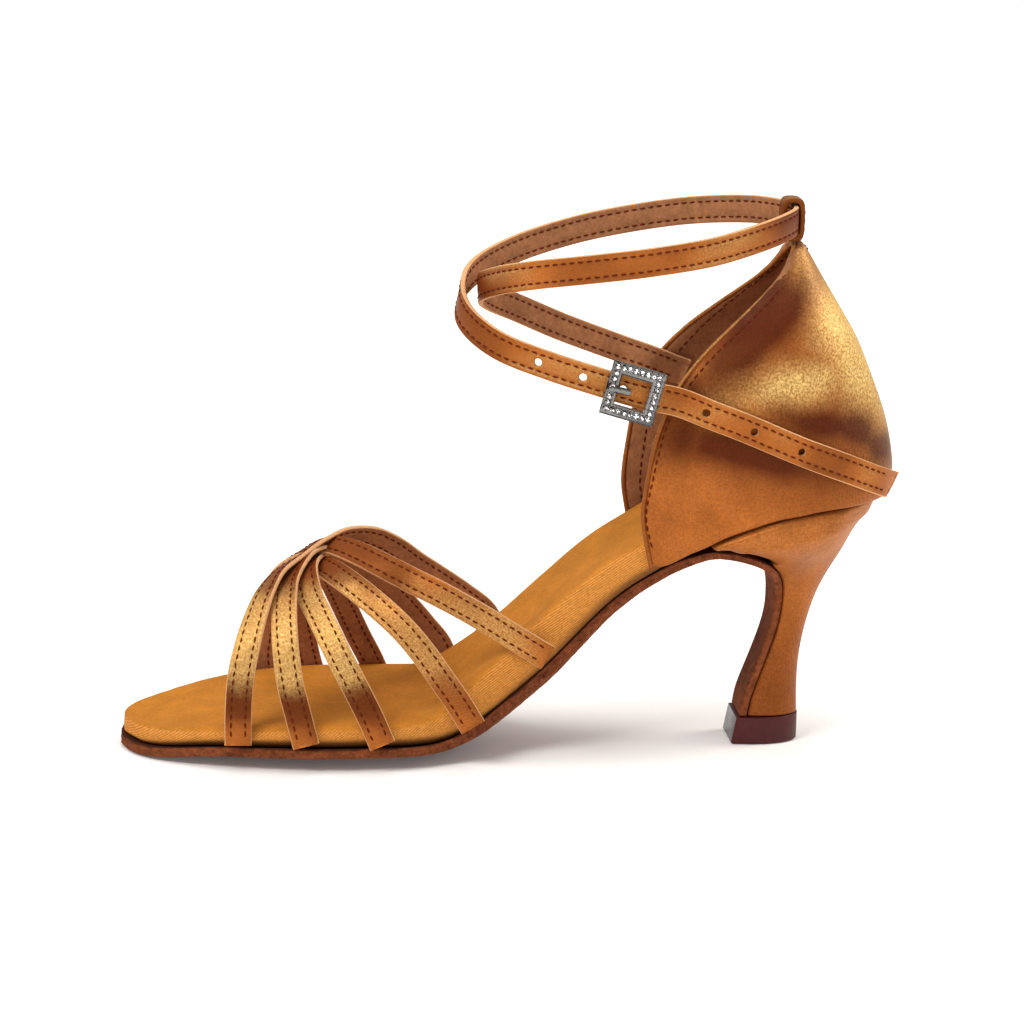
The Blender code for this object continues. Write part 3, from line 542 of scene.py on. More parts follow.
def stitch_row(mesh, points, outs, pitch, length, radius, seed=0):
    """Lays stitches along a run of points, each a short rounded thread that dips in at both ends."""
    points, outs = np.array(points), np.array(outs)
    run = np.concatenate([[0], np.cumsum(np.linalg.norm(np.diff(points, axis=0), axis=1))])
    batch = bmesh.new()
    for number, at in enumerate(np.arange(pitch * 0.7, run[-1] - pitch * 0.4, pitch)):
        middle = Vector([np.interp(at, run, points[:, i]) for i in range(3)])
        before = Vector([np.interp(at - length / 2, run, points[:, i]) for i in range(3)])
        after = Vector([np.interp(at + length / 2, run, points[:, i]) for i in range(3)])
        out = Vector([np.interp(at, run, outs[:, i]) for i in range(3)]).normalized()
        way = (after - before).normalized()
        lean = 0.10 * math.sin(number * 2.4 + seed)
        across = out.cross(way).normalized()
        way = (way + across * lean).normalized()
        across = out.cross(way).normalized()
        place = Matrix((way * (length / 2), across * radius, out * radius)).transposed().to_4x4()
        place.translation = middle + out * radius * 0.25
        bmesh.ops.create_uvsphere(batch, u_segments=6, v_segments=4, radius=1, matrix=place @ TURNED)
        if number % 12 == 11:
            gather(mesh, batch)
            batch = bmesh.new()
    gather(mesh, batch)


def gather(mesh, batch):
    """Adds a small bmesh to a large one: many small pieces are made faster in batches."""
    data = bpy.data.meshes.new("batch")
    batch.to_mesh(data)
    batch.free()
    mesh.from_mesh(data)
    bpy.data.meshes.remove(data)


TURNED = Matrix.Rotation(math.pi / 2, 4, "Y")


def satin_cloth(name, on_uv):
    """Duchess satin, woven in a fine twill: smooth, with gold painted highlights and dark painted shade laid
    into its colour by place from its colour layer.
    """
    made, tree, shader = new_material(name)
    tint, size = colours(), sizes()
    source = add(tree, "TexCoord").outputs["UV" if on_uv else "Object"]
    gold, shade_and_dark_tone = layer_amounts(tree, "tones")
    cloud = add(tree, "TexNoise", Vector=source, Scale=60, Detail=4, Roughness=0.6).outputs["Fac"]
    speck = add(tree, "TexNoise", Vector=source, Scale=1500, Detail=2, Roughness=0.7).outputs["Fac"]
    flat = add(tree, "Mapping", Vector=source, Rotation=(0, 0, math.radians(38)), Scale=(1, 1, 1))
    twill = add(
        tree,
        "TexWave",
        {"wave_type": "BANDS", "bands_direction": "X"},
        Vector=flat.outputs["Vector"],
        Scale=0.314 / size.satin_thread,
        Distortion=1.2,
        Detail=2,
        Detail_Scale=3,
    ).outputs["Fac"]
    line = add(tree, "Math", {"operation": "MULTIPLY"}, input_0=twill, input_1=0.45 if on_uv else 0.12)
    threads = add(tree, "Math", {"operation": "ADD"}, input_0=speck, input_1=line.outputs[0])
    depth = 0.7 if on_uv else 0.9
    grain = add(tree, "Math", {"operation": "MULTIPLY"}, input_0=threads.outputs[0], input_1=depth)
    uneven = ramp(tree, cloud, ((0.32, 0.0), (0.72, 0.42)))
    body = mixed(tree, uneven, rgba(tint.satin), rgba(tint.shade_and_dark_tone))
    # Painted highlight: gold, broken by the thread speck, laid where the colour layer asks for it; painted
    # shade: the dark colour laid the same way.
    lit = ramp(tree, speck, ((0.38, 0.40), (0.60, 1.0)))
    shine = add(tree, "Math", {"operation": "MULTIPLY"}, input_0=gold, input_1=lit)
    body = mixed(tree, shade_and_dark_tone, body, rgba(tint.shade_and_dark_tone))
    body = mixed(tree, shine.outputs[0], body, rgba(tint.gold))
    weave = ramp(tree, grain.outputs[0], ((0.22, 0.60), (0.76, 1.20)))
    body = mixed(tree, 1.0, body, weave, "MULTIPLY")
    finish_shader(
        tree,
        shader,
        body,
        grain.outputs[0],
        distance=0.00008,
        strength=0.55,
        Metallic=0.2,
        Roughness=0.42,
        Specular_Tint=rgba(tint.gold),
        Specular_IOR_Level=0.35,
        Anisotropic=0.5,
    )
    return made


def microfibre(name, colour, nap=900, dark=0.62):
    """Suede microfibre: short nap that scatters light softly, with darker strokes where it was brushed."""
    made, tree, shader = new_material(name)
    source = add(tree, "TexCoord").outputs["Object"]
    cloud = add(
        tree, "TexNoise", Vector=source, Scale=110, Detail=5, Roughness=0.65, Distortion=0.6
    ).outputs["Fac"]
    fibre = add(tree, "TexNoise", Vector=source, Scale=nap, Detail=4, Roughness=0.75).outputs["Fac"]
    shade = ramp(tree, cloud, ((0.28, dark), (0.62, 1.0)))
    nap_shade = ramp(tree, fibre, ((0.32, 0.74), (0.66, 1.14)))
    body = mixed(tree, 1.0, rgba(colour), shade, "MULTIPLY")
    body = mixed(tree, 1.0, body, nap_shade, "MULTIPLY")
    finish_shader(
        tree, shader, body, fibre, distance=0.0002, strength=0.7, Roughness=0.92, Sheen_Weight=0.35,
        Sheen_Roughness=0.5, Sheen_Tint=rgba(colour), Specular_IOR_Level=0.2,
    )
    return made


def footbed_suede(name):
    """Padded footbed: brushed suede on top, ribbed twill cloth where it wraps down the side."""
    made, tree, shader = new_material(name)
    tint, size = colours(), sizes()
    source = add(tree, "TexCoord").outputs["Object"]
    side, low = layer_amounts(tree, "wrap")
    cloud = add(
        tree, "TexNoise", Vector=source, Scale=75, Detail=5, Roughness=0.6, Distortion=0.8
    ).outputs["Fac"]
    fibre = add(tree, "TexNoise", Vector=source, Scale=1100, Detail=4, Roughness=0.75).outputs["Fac"]
    rib_map = add(tree, "Mapping", Vector=source, Rotation=(0, math.radians(35), 0))
    rib = add(
        tree,
        "TexWave",
        {"wave_type": "BANDS", "bands_direction": "Z"},
        Vector=rib_map.outputs["Vector"],
        Scale=0.314 / size.rib,
        Distortion=2.2,
        Detail=3,
        Detail_Scale=4,
    ).outputs["Fac"]
    broken = add(tree, "Math", {"operation": "MULTIPLY"}, input_0=rib, input_1=fibre)
    shade = ramp(tree, cloud, ((0.30, 0.80), (0.66, 1.08)))
    top = mixed(tree, 1.0, rgba(tint.footbed), shade, "MULTIPLY")
    ribs = ramp(tree, broken.outputs[0], ((0.10, 0.70), (0.42, 1.10)))
    # The side's lighter wrap colour is partly painted light, lifting the shade on the down-turned side; its
    # ribs are the cloth's own.
    wall = mixed(tree, 1.0, rgba(tint.wrap), ribs, "MULTIPLY")
    body = mixed(tree, side, top, wall)
    nap_shade = ramp(tree, fibre, ((0.32, 0.82), (0.66, 1.10)))
    body = mixed(tree, 1.0, body, nap_shade, "MULTIPLY")
    # Darker on the faces that turn down, along the seam with the outsole.
    body = mixed(tree, low, body, rgba(tint.seam_dark))
    raised = add(tree, "Mix", input_0=side, input_2=fibre, input_3=broken.outputs[0])
    finish_shader(
        tree, shader, body, raised.outputs[0], distance=0.00025, strength=0.7, Roughness=0.9, Sheen_Weight=0.3,
        Sheen_Roughness=0.5, Sheen_Tint=rgba(tint.footbed), Specular_IOR_Level=0.2,
    )
    return made


def split_suede(name):
    """Split suede of the outsole: rough, fibrous and darker on its faces that turn up, along the seam with the
    insole.
    """
    made, tree, shader = new_material(name)
    tint = colours()
    source = add(tree, "TexCoord").outputs["Object"]
    seam_darkened, _ = layer_amounts(tree, "wrap")
    cloud = add(
        tree, "TexNoise", Vector=source, Scale=260, Detail=6, Roughness=0.7, Distortion=1.0
    ).outputs["Fac"]
    fibre = add(
        tree, "TexNoise", Vector=source, Scale=1300, Detail=5, Roughness=0.8, Distortion=0.5
    ).outputs["Fac"]
    shade = ramp(tree, cloud, ((0.30, 0.50), (0.66, 1.45)))
    body = mixed(tree, 1.0, rgba(tint.split), shade, "MULTIPLY")
    hair = ramp(tree, fibre, ((0.34, 0.6), (0.68, 1.35)))
    body = mixed(tree, 1.0, body, hair, "MULTIPLY")
    body = mixed(tree, seam_darkened, body, rgba(tint.seam_dark))
    finish_shader(
        tree, shader, body, fibre, distance=0.0009, strength=1.0, Roughness=0.95, Sheen_Weight=0.25,
        Sheen_Roughness=0.6, Sheen_Tint=rgba(tint.split), Specular_IOR_Level=0.15,
    )
    return made


def plain_finish(name, colour, grain, bump, **values):
    """A smooth finish with a fine grain of its own, such as thread, cut edges, rubber or plate."""
    made, tree, shader = new_material(name)
    source = add(tree, "TexCoord").outputs["Object"]
    spread = add(tree, "TexNoise", Vector=source, Scale=grain, Detail=4, Roughness=0.6).outputs["Fac"]
    shade = ramp(tree, spread, ((0.30, 0.78), (0.70, 1.12)))
    body = mixed(tree, 1.0, rgba(colour), shade, "MULTIPLY")
    finish_shader(tree, shader, body, spread, distance=0.00006, strength=bump, **values)
    return made


def cut_stone(name):
    """Foil-backed glass stones: hard flat facets that flash, with painted glints as well: random cells of their
    colour are near white or near black.
    """
    made, tree, shader = new_material(name)
    source = add(tree, "TexCoord").outputs["Object"]
    glint_cells = add(tree, "TexVoronoi", Vector=source, Scale=2600).outputs["Color"]
    grey = add(tree, "RGBToBW", Color=glint_cells).outputs[0]
    body = ramp(tree, grey, ((0.34, 0.06), (0.60, 0.95)))
    finish_shader(tree, shader, body, None, Metallic=0.85, Roughness=0.06, Coat_Weight=0.8, Coat_Roughness=0.02)
    return made


finishes = {}


def finish(name):
    """The shared finish of that name, made when it is first asked for."""
    if name not in finishes:
        tint = colours()
        makers = {
            "satin_strap": lambda: satin_cloth("bronze_satin_strap", True),
            "satin_panel": lambda: satin_cloth("bronze_satin_panel", False),
            "lining": lambda: microfibre("lining_microfibre", tint.lining),
            "footbed": lambda: footbed_suede("footbed_suede"),
            "split": lambda: split_suede("outsole_split_suede"),
            # Raw layers of a strap's edge: pale, dry and a little fibrous.
            "cut_edge": lambda: plain_finish("cut_strap_edge", tint.cut_edge, 1500, 0.5, Roughness=0.8),
            # Twisted polyester thread: dull, dark beads along a seam.
            "thread": lambda: plain_finish(
                "polyester_thread", tint.thread, 2500, 0.5, Roughness=0.9, Specular_IOR_Level=0.1
            ),
            # Moulded rubber of the heel tip: dark, semi-gloss, lightly scuffed.
            "rubber": lambda: plain_finish(
                "moulded_rubber", tint.rubber, 500, 0.3, Roughness=0.45, Specular_IOR_Level=0.25
            ),
            # The tip's front: shiny, and grey as a painted reflection of the pale floor.
            "front_reflection": lambda: plain_finish("tip_front_reflection", tint.front_reflection, 700, 0.4, Roughness=0.25),
            # Nickel plate over a die-cast frame: bright, with a faint cast grain.
            "plate": lambda: plain_finish("nickel_plate", tint.plate, 900, 0.2, Metallic=1.0, Roughness=0.2),
            "stone": lambda: cut_stone("foil_backed_glass"),
        }
        finishes[name] = makers[name]()
    return finishes[name]


# How far the back of the heel is drawn in at a height, in mm.
HEEL_TUCK = (
    (46.0, 0.0),
    (52.0, 0.4),
    (58.0, 1.5),
    (64.0, 2.8),
    (68.0, 3.0),
    (71.0, 2.6),
)

# Share of the frame's window that shows inside its set stones, and of the tongue that shows over the strap.
FRAME_WINDOW = 0.91
TONGUE_SHARE = 0.62

# Bands of painted highlight and painted shade on the forefoot straps: low and high in mm, soft edge, back end,
# highlight, shade.
STRAP_TONES = (
    (25.0, 47.0, 9.0, 16.0, 0.68, 0.00),
    (26.0, 46.0, 12.0, 60.0, 0.40, 0.00),
    (13.0, 27.0, 8.0, 24.0, 0.00, 0.85),
    (16.0, 29.0, 8.0, 60.0, 0.00, 0.35),
    (46.5, 70.0, 5.0, 30.0, 0.00, 0.60),
)

# Soft patches of painted highlight and painted shade on the counter, seen from its side, with painted shadow
# under the ankle strap: along and up in mm, their half sizes, lean, highlight, shade.
COUNTER_TONES = (
    (149.0, 117.0, 31.0, 8.5, -65.0, 1.00, 0.00),
    (132.0, 108.0, 15.0, 6.0, 6.0, 0.85, 0.00),
    (115.0, 105.0, 9.0, 4.0, 15.0, 0.40, 0.00),
    (121.5, 121.6, 23.0, 7.8, 43.0, 0.00, 1.40),
    (103.0, 105.0, 9.0, 6.0, 40.0, 0.00, 0.95),
    (140.0, 96.0, 17.0, 6.0, -12.0, 0.00, 1.20),
    (150.0, 93.0, 10.0, 6.0, -24.0, 0.00, 1.15),
    (157.5, 88.5, 11.0, 5.4, -44.0, 0.00, 1.10),
    (120.0, 88.5, 26.0, 7.0, -14.0, 0.00, 1.30),
    (110.0, 90.0, 11.0, 7.5, 0.0, 0.00, 1.10),
    (101.0, 92.0, 8.0, 9.0, 0.0, 0.00, 1.00),
    (130.0, 80.0, 20.0, 6.0, -14.0, 0.00, 0.30),
)


# Painted highlight at mid height, and painted shade low by the footbed and high over the instep, in bands along
# the straps.
def strap_tones(place, normal):
    gold = shade_and_dark_tone = 0.0
    wobble = 2.5 * noise.noise(place * 0.12) + 1.2 * noise.noise(place * 0.4)
    for low, high, soft, back, highlight_here, shade_here in STRAP_TONES:
        amount = band(place.z + wobble, low, high, soft) * band(place.x, -60, back, 14)
        gold = max(gold, amount * highlight_here)
        shade_and_dark_tone = max(shade_and_dark_tone, amount * shade_here)
    return gold, shade_and_dark_tone, 0


# Ankle strap: painted highlight on faces that turn up, within random patches; a random dark tone in other
# patches; painted shade high at the back and along the front of the strap.
def ankle_tones(place, normal):
    patch = 0.5 + 0.5 * noise.noise(place * 0.055 + Vector((3, 1, 7)))
    gold = 0.35 * band(patch, 0.62, 1.2, 0.25) * band(normal.z, 0.0, 1.2, 0.4)
    shade_and_dark_tone = 0.35 * band(patch, -0.2, 0.42, 0.25)
    shade_and_dark_tone += 0.45 * band(place.z, 146, 170, 9) * band(place.x, 120, 150, 12)
    shade_and_dark_tone = max(shade_and_dark_tone, 0.5 * band(place.x, 20, 52, 12))
    return gold, min(shade_and_dark_tone, 0.85), 0


# Painted highlight and painted shade on the counter, from the soft patches; the painted shade dims the painted
# highlight where they meet.
def counter_tones(place, normal):
    gold = shade_and_dark_tone = 0.0
    wobble = Vector((noise.noise(place * 0.09), 0, noise.noise(place * 0.09 + Vector((9, 4, 2))))) * 2.5
    spot = place + wobble
    for x, z, half_x, half_z, lean, highlight_here, shade_here in COUNTER_TONES:
        turn = math.radians(lean)
        along = (spot.x - x) * math.cos(turn) + (spot.z - z) * math.sin(turn)
        up = (spot.z - z) * math.cos(turn) - (spot.x - x) * math.sin(turn)
        amount = math.exp(-((along / half_x) ** 2) - (up / half_z) ** 2)
        gold = max(gold, amount * highlight_here)
        shade_and_dark_tone = max(shade_and_dark_tone, amount * shade_here)
    shade_and_dark_tone = min(1, shade_and_dark_tone)
    return min(1, gold * 1.1) * (1 - 0.85 * shade_and_dark_tone), shade_and_dark_tone, 0


# Heel: faint painted highlight high up on the faces turned to the near side, and painted shade low down on the
# faces turned to the toe.
def heel_tones(place, normal):
    gold = 0.05 * band(place.z, 44, 90, 30) * band(-normal.y, 0.2, 2, 0.5)
    return gold, 0.50 * band(place.z, -5, 26, 34) * band(-normal.x, -0.7, 2, 1.2), 0


def strap_rows(place_rows, frames, run, width, thickness, mesh, ends):
    """Both seams of a strap, on its satin side and on its lining."""
    size = sizes()
    keep = [i for i, at in enumerate(run) if ends[0] < at < run[-1] - ends[1]]
    for face in (1, -1):
        for side in (1, -1):
            points, outs = [], []
            for i in keep:
                offset = Vector((side * (width / 2 - size.stitch_inset), face * thickness * 0.40, 0))
                points.append(frames[i] @ offset)
                outs.append(frames[i].to_3x3() @ Vector((0, face, 0)))
            stitch_row(
                mesh, points, outs, size.stitch_pitch, size.stitch_length, size.thread_radius, place_rows + side
            )


class SANDAL_OT_forefoot_straps(bpy.types.Operator):
    """Five sewn satin straps that cross over the instep"""

    bl_idname = "sandal.forefoot_straps"
    bl_label = "Forefoot straps"

    def execute(self, context):
        size = sizes()
        kinds = [finish("satin_strap"), finish("lining"), finish("cut_edge")]
        section, faces = strap_section(size.strap_width, size.strap_thickness)
        mesh = start_mesh()
        seams = bmesh.new()
        for number, strap in enumerate(FOREFOOT_STRAPS):
            frames, run = strap_frames(forefoot_line(*strap))
            swept(mesh, section, frames, run, faces)
            strap_rows(number * 3, frames, run, size.strap_width, size.strap_thickness, seams, (0.0015, 0.0015))
        piece = settle(mesh, "forefoot_straps", kinds)
        paint(piece, "tones", strap_tones)
        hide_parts("vamp_straps")
        settle(seams, "forefoot_stitches", [finish("thread")])
        return {"FINISHED"}


class SANDAL_OT_ankle_strap(bpy.types.Operator):
    """The long satin strap round the ankle, punched near its end and sewn along both edges"""

    bl_idname = "sandal.ankle_strap"
    bl_label = "Ankle strap"

    def execute(self, context):
        size = sizes()
        kinds = [finish("satin_strap"), finish("lining"), finish("cut_edge")]
        section, faces = strap_section(size.ankle_width, size.ankle_thickness)
        frames, run = strap_frames(ankle_line())
        mesh = start_mesh()
        swept(mesh, section, frames, run, faces)
        piece = settle(mesh, "satin_ankle_strap", kinds)
        self.slant(piece, frames[-1], size.ankle_width)
        self.fray(frames[-1], size.ankle_width)
        for back in PUNCHED_HOLES:
            spot = int(np.searchsorted(run, run[-1] - back * MM))
            self.punch(piece, frames[spot])
        paint(piece, "tones", ankle_tones)
        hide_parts("ankle_strap")
        seams = bmesh.new()
        strap_rows(1, frames, run, size.ankle_width, size.ankle_thickness, seams, (0.002, 0.0055))
        settle(seams, "ankle_stitches", [finish("thread")])
        return {"FINISHED"}

    def fray(self, end, width):
        """Short loose threads that stick out of the strap's cut end."""
        mesh = bmesh.new()
        for number in range(26):
            across = (number / 25 - 0.5) * width * 0.96
            height = MM * (4.5 * (across / width - 0.4) - 0.3)
            start = Vector((across, 0.0009 * math.sin(number * 2.1), height))
            way = Vector((0.5 * math.sin(number * 3.7), 0.4 * math.sin(number * 5.3), 1.0)).normalized()
            long = MM * (0.7 + 0.6 * abs(math.sin(number * 1.9)))
            turn = way.to_track_quat("Z", "Y").to_matrix().to_4x4()
            bmesh.ops.create_cone(
                mesh, cap_ends=True, segments=5, radius1=0.00009, radius2=0.00004, depth=long,
                matrix=end @ Matrix.Translation(start + way * long / 2) @ turn,
            )
        settle(mesh, "frayed_threads", [finish("cut_edge")])

    def slant(self, piece, end, width):
        """Cuts the strap's free end on the slant, its upper corner the longer."""
        back = end.inverted()
        for vertex in piece.data.vertices:
            spot = back @ vertex.co
            if spot.length < 0.012:
                near = band(spot.z / MM, -3.5, 300, 7)
                spot.z += near * MM * (4.5 * (spot.x / width - 0.4) + 0.5 * noise.noise(vertex.co / MM))
                vertex.co = end @ spot

    def punch(self, piece, place):
        """Cuts one round hole through the strap."""
        mesh = bmesh.new()
        bmesh.ops.create_cone(
            mesh,
            cap_ends=True,
            segments=20,
            radius1=sizes().hole_radius,
            radius2=sizes().hole_radius,
            depth=0.01,
            matrix=place @ Matrix.Rotation(math.pi / 2, 4, "X"),
        )
        data = bpy.data.meshes.new("punch")
        mesh.to_mesh(data)
        mesh.free()
        data.materials.append(finish("cut_edge"))
        punch = bpy.data.objects.new("punch", data)
        bpy.context.scene.collection.objects.link(punch)
        cut = piece.modifiers.new("Punch", "BOOLEAN")
        cut.operation = "DIFFERENCE"
        cut.solver = "EXACT"
        cut.material_mode = "TRANSFER"
        cut.object = punch
        apply_modifiers(piece)
        bpy.data.objects.remove(punch)


def rim_line():
    """The counter's rim, from its outer lower end over the top to its inner lower end, in mm."""
    outer = [upper_place(along, -side, height) for along, side, height in COUNTER_RIM]
    return outer + [(x, -y, z) for x, y, z in reversed(outer)]


class SANDAL_OT_counter(bpy.types.Operator):
    """The closed satin back with its suede lining, rolled rim and sewn edge"""

    bl_idname = "sandal.counter"
    bl_label = "Counter"

    def execute(self, context):
        size = sizes()
        piece = dressed("counter", "satin_counter", [finish("satin_panel"), finish("lining")])
        smoothed(piece, 2)
        self.line(piece)
        for vertex in piece.data.vertices:
            vertex.co.z += seat_rise(vertex.co)
        moved(piece, self.pucker)
        paint(piece, "tones", counter_tones)
        self.rim(piece)
        return {"FINISHED"}

    def line(self, piece):
        """Gives the faces of the hollow side the lining."""
        for face in piece.data.polygons:
            x, y, z = face.center
            inward = Vector((x - 0.118, y, 0)).dot(face.normal)
            face.material_index = 1 if inward < -0.0005 else 0

    def pucker(self, place, normal):
        """Soft waves where the satin is pulled down at its lower edge and over the stiffener."""
        spot = place / MM
        low = band(spot.z, 50, 84, 12)
        waves = 0.10 * noise.noise(Vector((spot.x * 0.05, spot.y * 0.05, spot.z * 0.10)))
        folds = 0.10 * low * math.sin(spot.x * 0.42 + spot.z * 0.2 + 2 * noise.noise(spot * 0.06))
        return (waves + folds) * MM

    def rim(self, piece):
        """The rolled edge and the stitches beside it."""
        size = sizes()
        table, run = curve_through(rim_line(), 170)
        ahead = np.gradient(table, axis=0)
        frames = []
        for point, way in zip(table, ahead):
            way = Vector(way).normalized()
            out = Vector((point[0] - 0.118, point[1], 0.0)).normalized()
            out = (out - way * out.dot(way)).normalized()
            place = Matrix((out.cross(way), out, way)).transposed().to_4x4()
            place.translation = point
            frames.append(place)
        turns = [2 * math.pi * i / 12 for i in range(12)]
        wide, deep = size.piping_radius * 1.1, size.piping_radius * 1.25
        section = [(math.cos(a) * wide, math.sin(a) * deep) for a in turns]
        mesh = start_mesh()
        swept(mesh, section, frames, run)
        roll = settle(mesh, "rolled_rim", [finish("satin_strap")])
        # Painted highlight on the roll's upward faces, and painted shade over all of it.
        paint(roll, "tones", lambda place, normal: (0.25 * band(normal.z, 0.2, 2, 0.5), 0.35, 0))
        seams = bmesh.new()
        for face in (1, -1):
            points, outs = [], []
            for place in frames[4:-4]:
                back = place.to_3x3() @ Vector((1, 0, 0))
                inward = Vector((0.135, place.translation.y, 0.088)) - place.translation
                back = back if back.dot(inward) > 0 else -back
                rise = Vector((0, 0, 0.8 * band(place.translation.z / MM, 112, 300, 20)))
                push = face * (place.to_3x3() @ Vector((0, 1, 0)) + rise).normalized()
                guess = place.translation + back * 0.0028 + push * 0.004
                _, spot, normal, _ = piece.closest_point_on_mesh(guess)
                if normal.dot(push) < 0.2:
                    continue
                points.append(spot)
                outs.append(normal)
            stitch_row(seams, points, outs, size.stitch_pitch, size.stitch_length, size.thread_radius, face)
        settle(seams, "counter_stitches", [finish("thread")])


class SANDAL_OT_back_loop(bpy.types.Operator):
    """The satin loop that carries the ankle strap behind the heel"""

    bl_idname = "sandal.back_loop"
    bl_label = "Back loop"

    def execute(self, context):
        piece = dressed("back_loop", "satin_back_loop", [finish("satin_strap")])
        smoothed(piece, 2, 50)
        # Painted highlight on the loop's upward faces, and painted shade over all of it.
        paint(piece, "tones", lambda place, normal: (0.15 * band(normal.z, 0.3, 2, 0.5), 0.55, 0))
        self.seams(piece)
        return {"FINISHED"}

    def seams(self, piece):
        """A seam up each side of the loop's outer face."""
        corners = [vertex.co for vertex in piece.data.vertices]
        low, high = (Vector([pick(corner[i] for corner in corners) for i in range(3)]) for pick in (min, max))
        seams = bmesh.new()
        for side in (0.24, 0.76):
            points, outs = [], []
            for share in np.linspace(0.08, 0.92, 16):
                guess = low + Vector((0, (high.y - low.y) * side, (high.z - low.z) * share))
                guess.x = high.x + 0.002
                _, spot, normal, _ = piece.closest_point_on_mesh(guess)
                points.append(spot)
                outs.append(normal)
            size = sizes()
            stitch_row(seams, points, outs, size.stitch_pitch, size.stitch_length, size.thread_radius)
        settle(seams, "loop_stitches", [finish("thread")])


class SANDAL_OT_insole(bpy.types.Operator):
    """The padded footbed with its cloth-wrapped side"""

    bl_idname = "sandal.insole"
    bl_label = "Insole"

    def execute(self, context):
        piece = dressed("insole", "suede_footbed", [finish("footbed")])
        smoothed(piece, 2)
        paint(piece, "wrap", self.wrap)
        return {"FINISHED"}

    def wrap(self, place, normal):
        """Amount of side cloth, and of darkening on the faces that turn down, along the seam with the outsole.
        """
        side = band(normal.z + 0.08 * noise.noise(place * 0.15), -2, 0.62, 0.25)
        under = band(normal.z, -2, -0.45, 0.5)
        return side, under * 0.8, 0


class SANDAL_OT_outsole(bpy.types.Operator):
    """The thin split-suede outsole with its rough cut edge"""

    bl_idname = "sandal.outsole"
    bl_label = "Outsole"

    def execute(self, context):
        piece = dressed("outsole", "suede_outsole", [finish("split")])
        smoothed(piece, 3, 40)
        moved(piece, self.ragged)
        paint(piece, "wrap", self.seam_darkened)
        return {"FINISHED"}

    def ragged(self, place, normal):
        """A knife-cut fibrous edge that waves in and out, while the tread stays flat."""
        spot = place / MM
        side = 1 - abs(normal.z) if spot.x < 98 else 0.5 * normal.y**2
        wave = 0.75 * noise.noise(Vector((spot.x * 0.12, spot.y * 0.12, 0)))
        crumb = 0.42 * noise.noise(spot * 0.55) + 0.26 * noise.noise(spot * 1.7)
        held = 0.15 if normal.z < -0.5 and spot.z < 2 else 1
        return side * held * (wave + crumb) * MM

    # Darker on the faces that turn up, along the seam with the insole.
    def seam_darkened(self, place, normal):
        return band(normal.z, 0.35, 2, 0.5) * 0.9, 0, 0


def seat_rise(place):
    """How far the seam over the heel is drawn up, growing towards the back of the seat."""
    spot = place / MM
    return 2.2 * MM * band(spot.x, 135, 300, 55) * band(spot.z, 61, 80, 8)


class SANDAL_OT_heel(bpy.types.Operator):
    """The flared heel covered in satin, and its rubber tip"""

    bl_idname = "sandal.heel"
    bl_label = "Heel"

    def execute(self, context):
        cover = dressed("heel", "satin_heel_cover", [finish("satin_panel")])
        smoothed(cover, 2, 50)
        for vertex in cover.data.vertices:
            vertex.co = self.tucked(vertex.co)
        paint(cover, "tones", heel_tones)
        tip = dressed("heel_tip", "rubber_heel_tip", [finish("rubber")])
        edge = tip.modifiers.new("Edge", "BEVEL")
        edge.width = 0.0005
        edge.segments = 3
        edge.limit_method = "ANGLE"
        edge.angle_limit = math.radians(40)
        apply_modifiers(tip)
        for vertex in tip.data.vertices:
            spot = vertex.co / MM
            vertex.co.x -= (0.4 + 1.4 * band(spot.z, -9, 4, 8)) * MM * band(spot.x, 100, 124, 5)
        # The front faces take the grey shiny finish: a painted reflection of the floor.
        tip.data.materials.append(finish("front_reflection"))
        for face in tip.data.polygons:
            face.material_index = 1 if face.normal.x < -0.75 else 0
        return {"FINISHED"}

    def tucked(self, place):
        """Draws the heel's back in under the counter, so that the two covers run into each other."""
        pull = np.interp(place.z / MM, *zip(*HEEL_TUCK)) * MM * band(place.x / MM, 150, 300, 14)
        inward = -0.25 * pull * math.copysign(min(1, abs(place.y) / 0.01), place.y)
        return place + Vector((-pull, inward, seat_rise(place)))


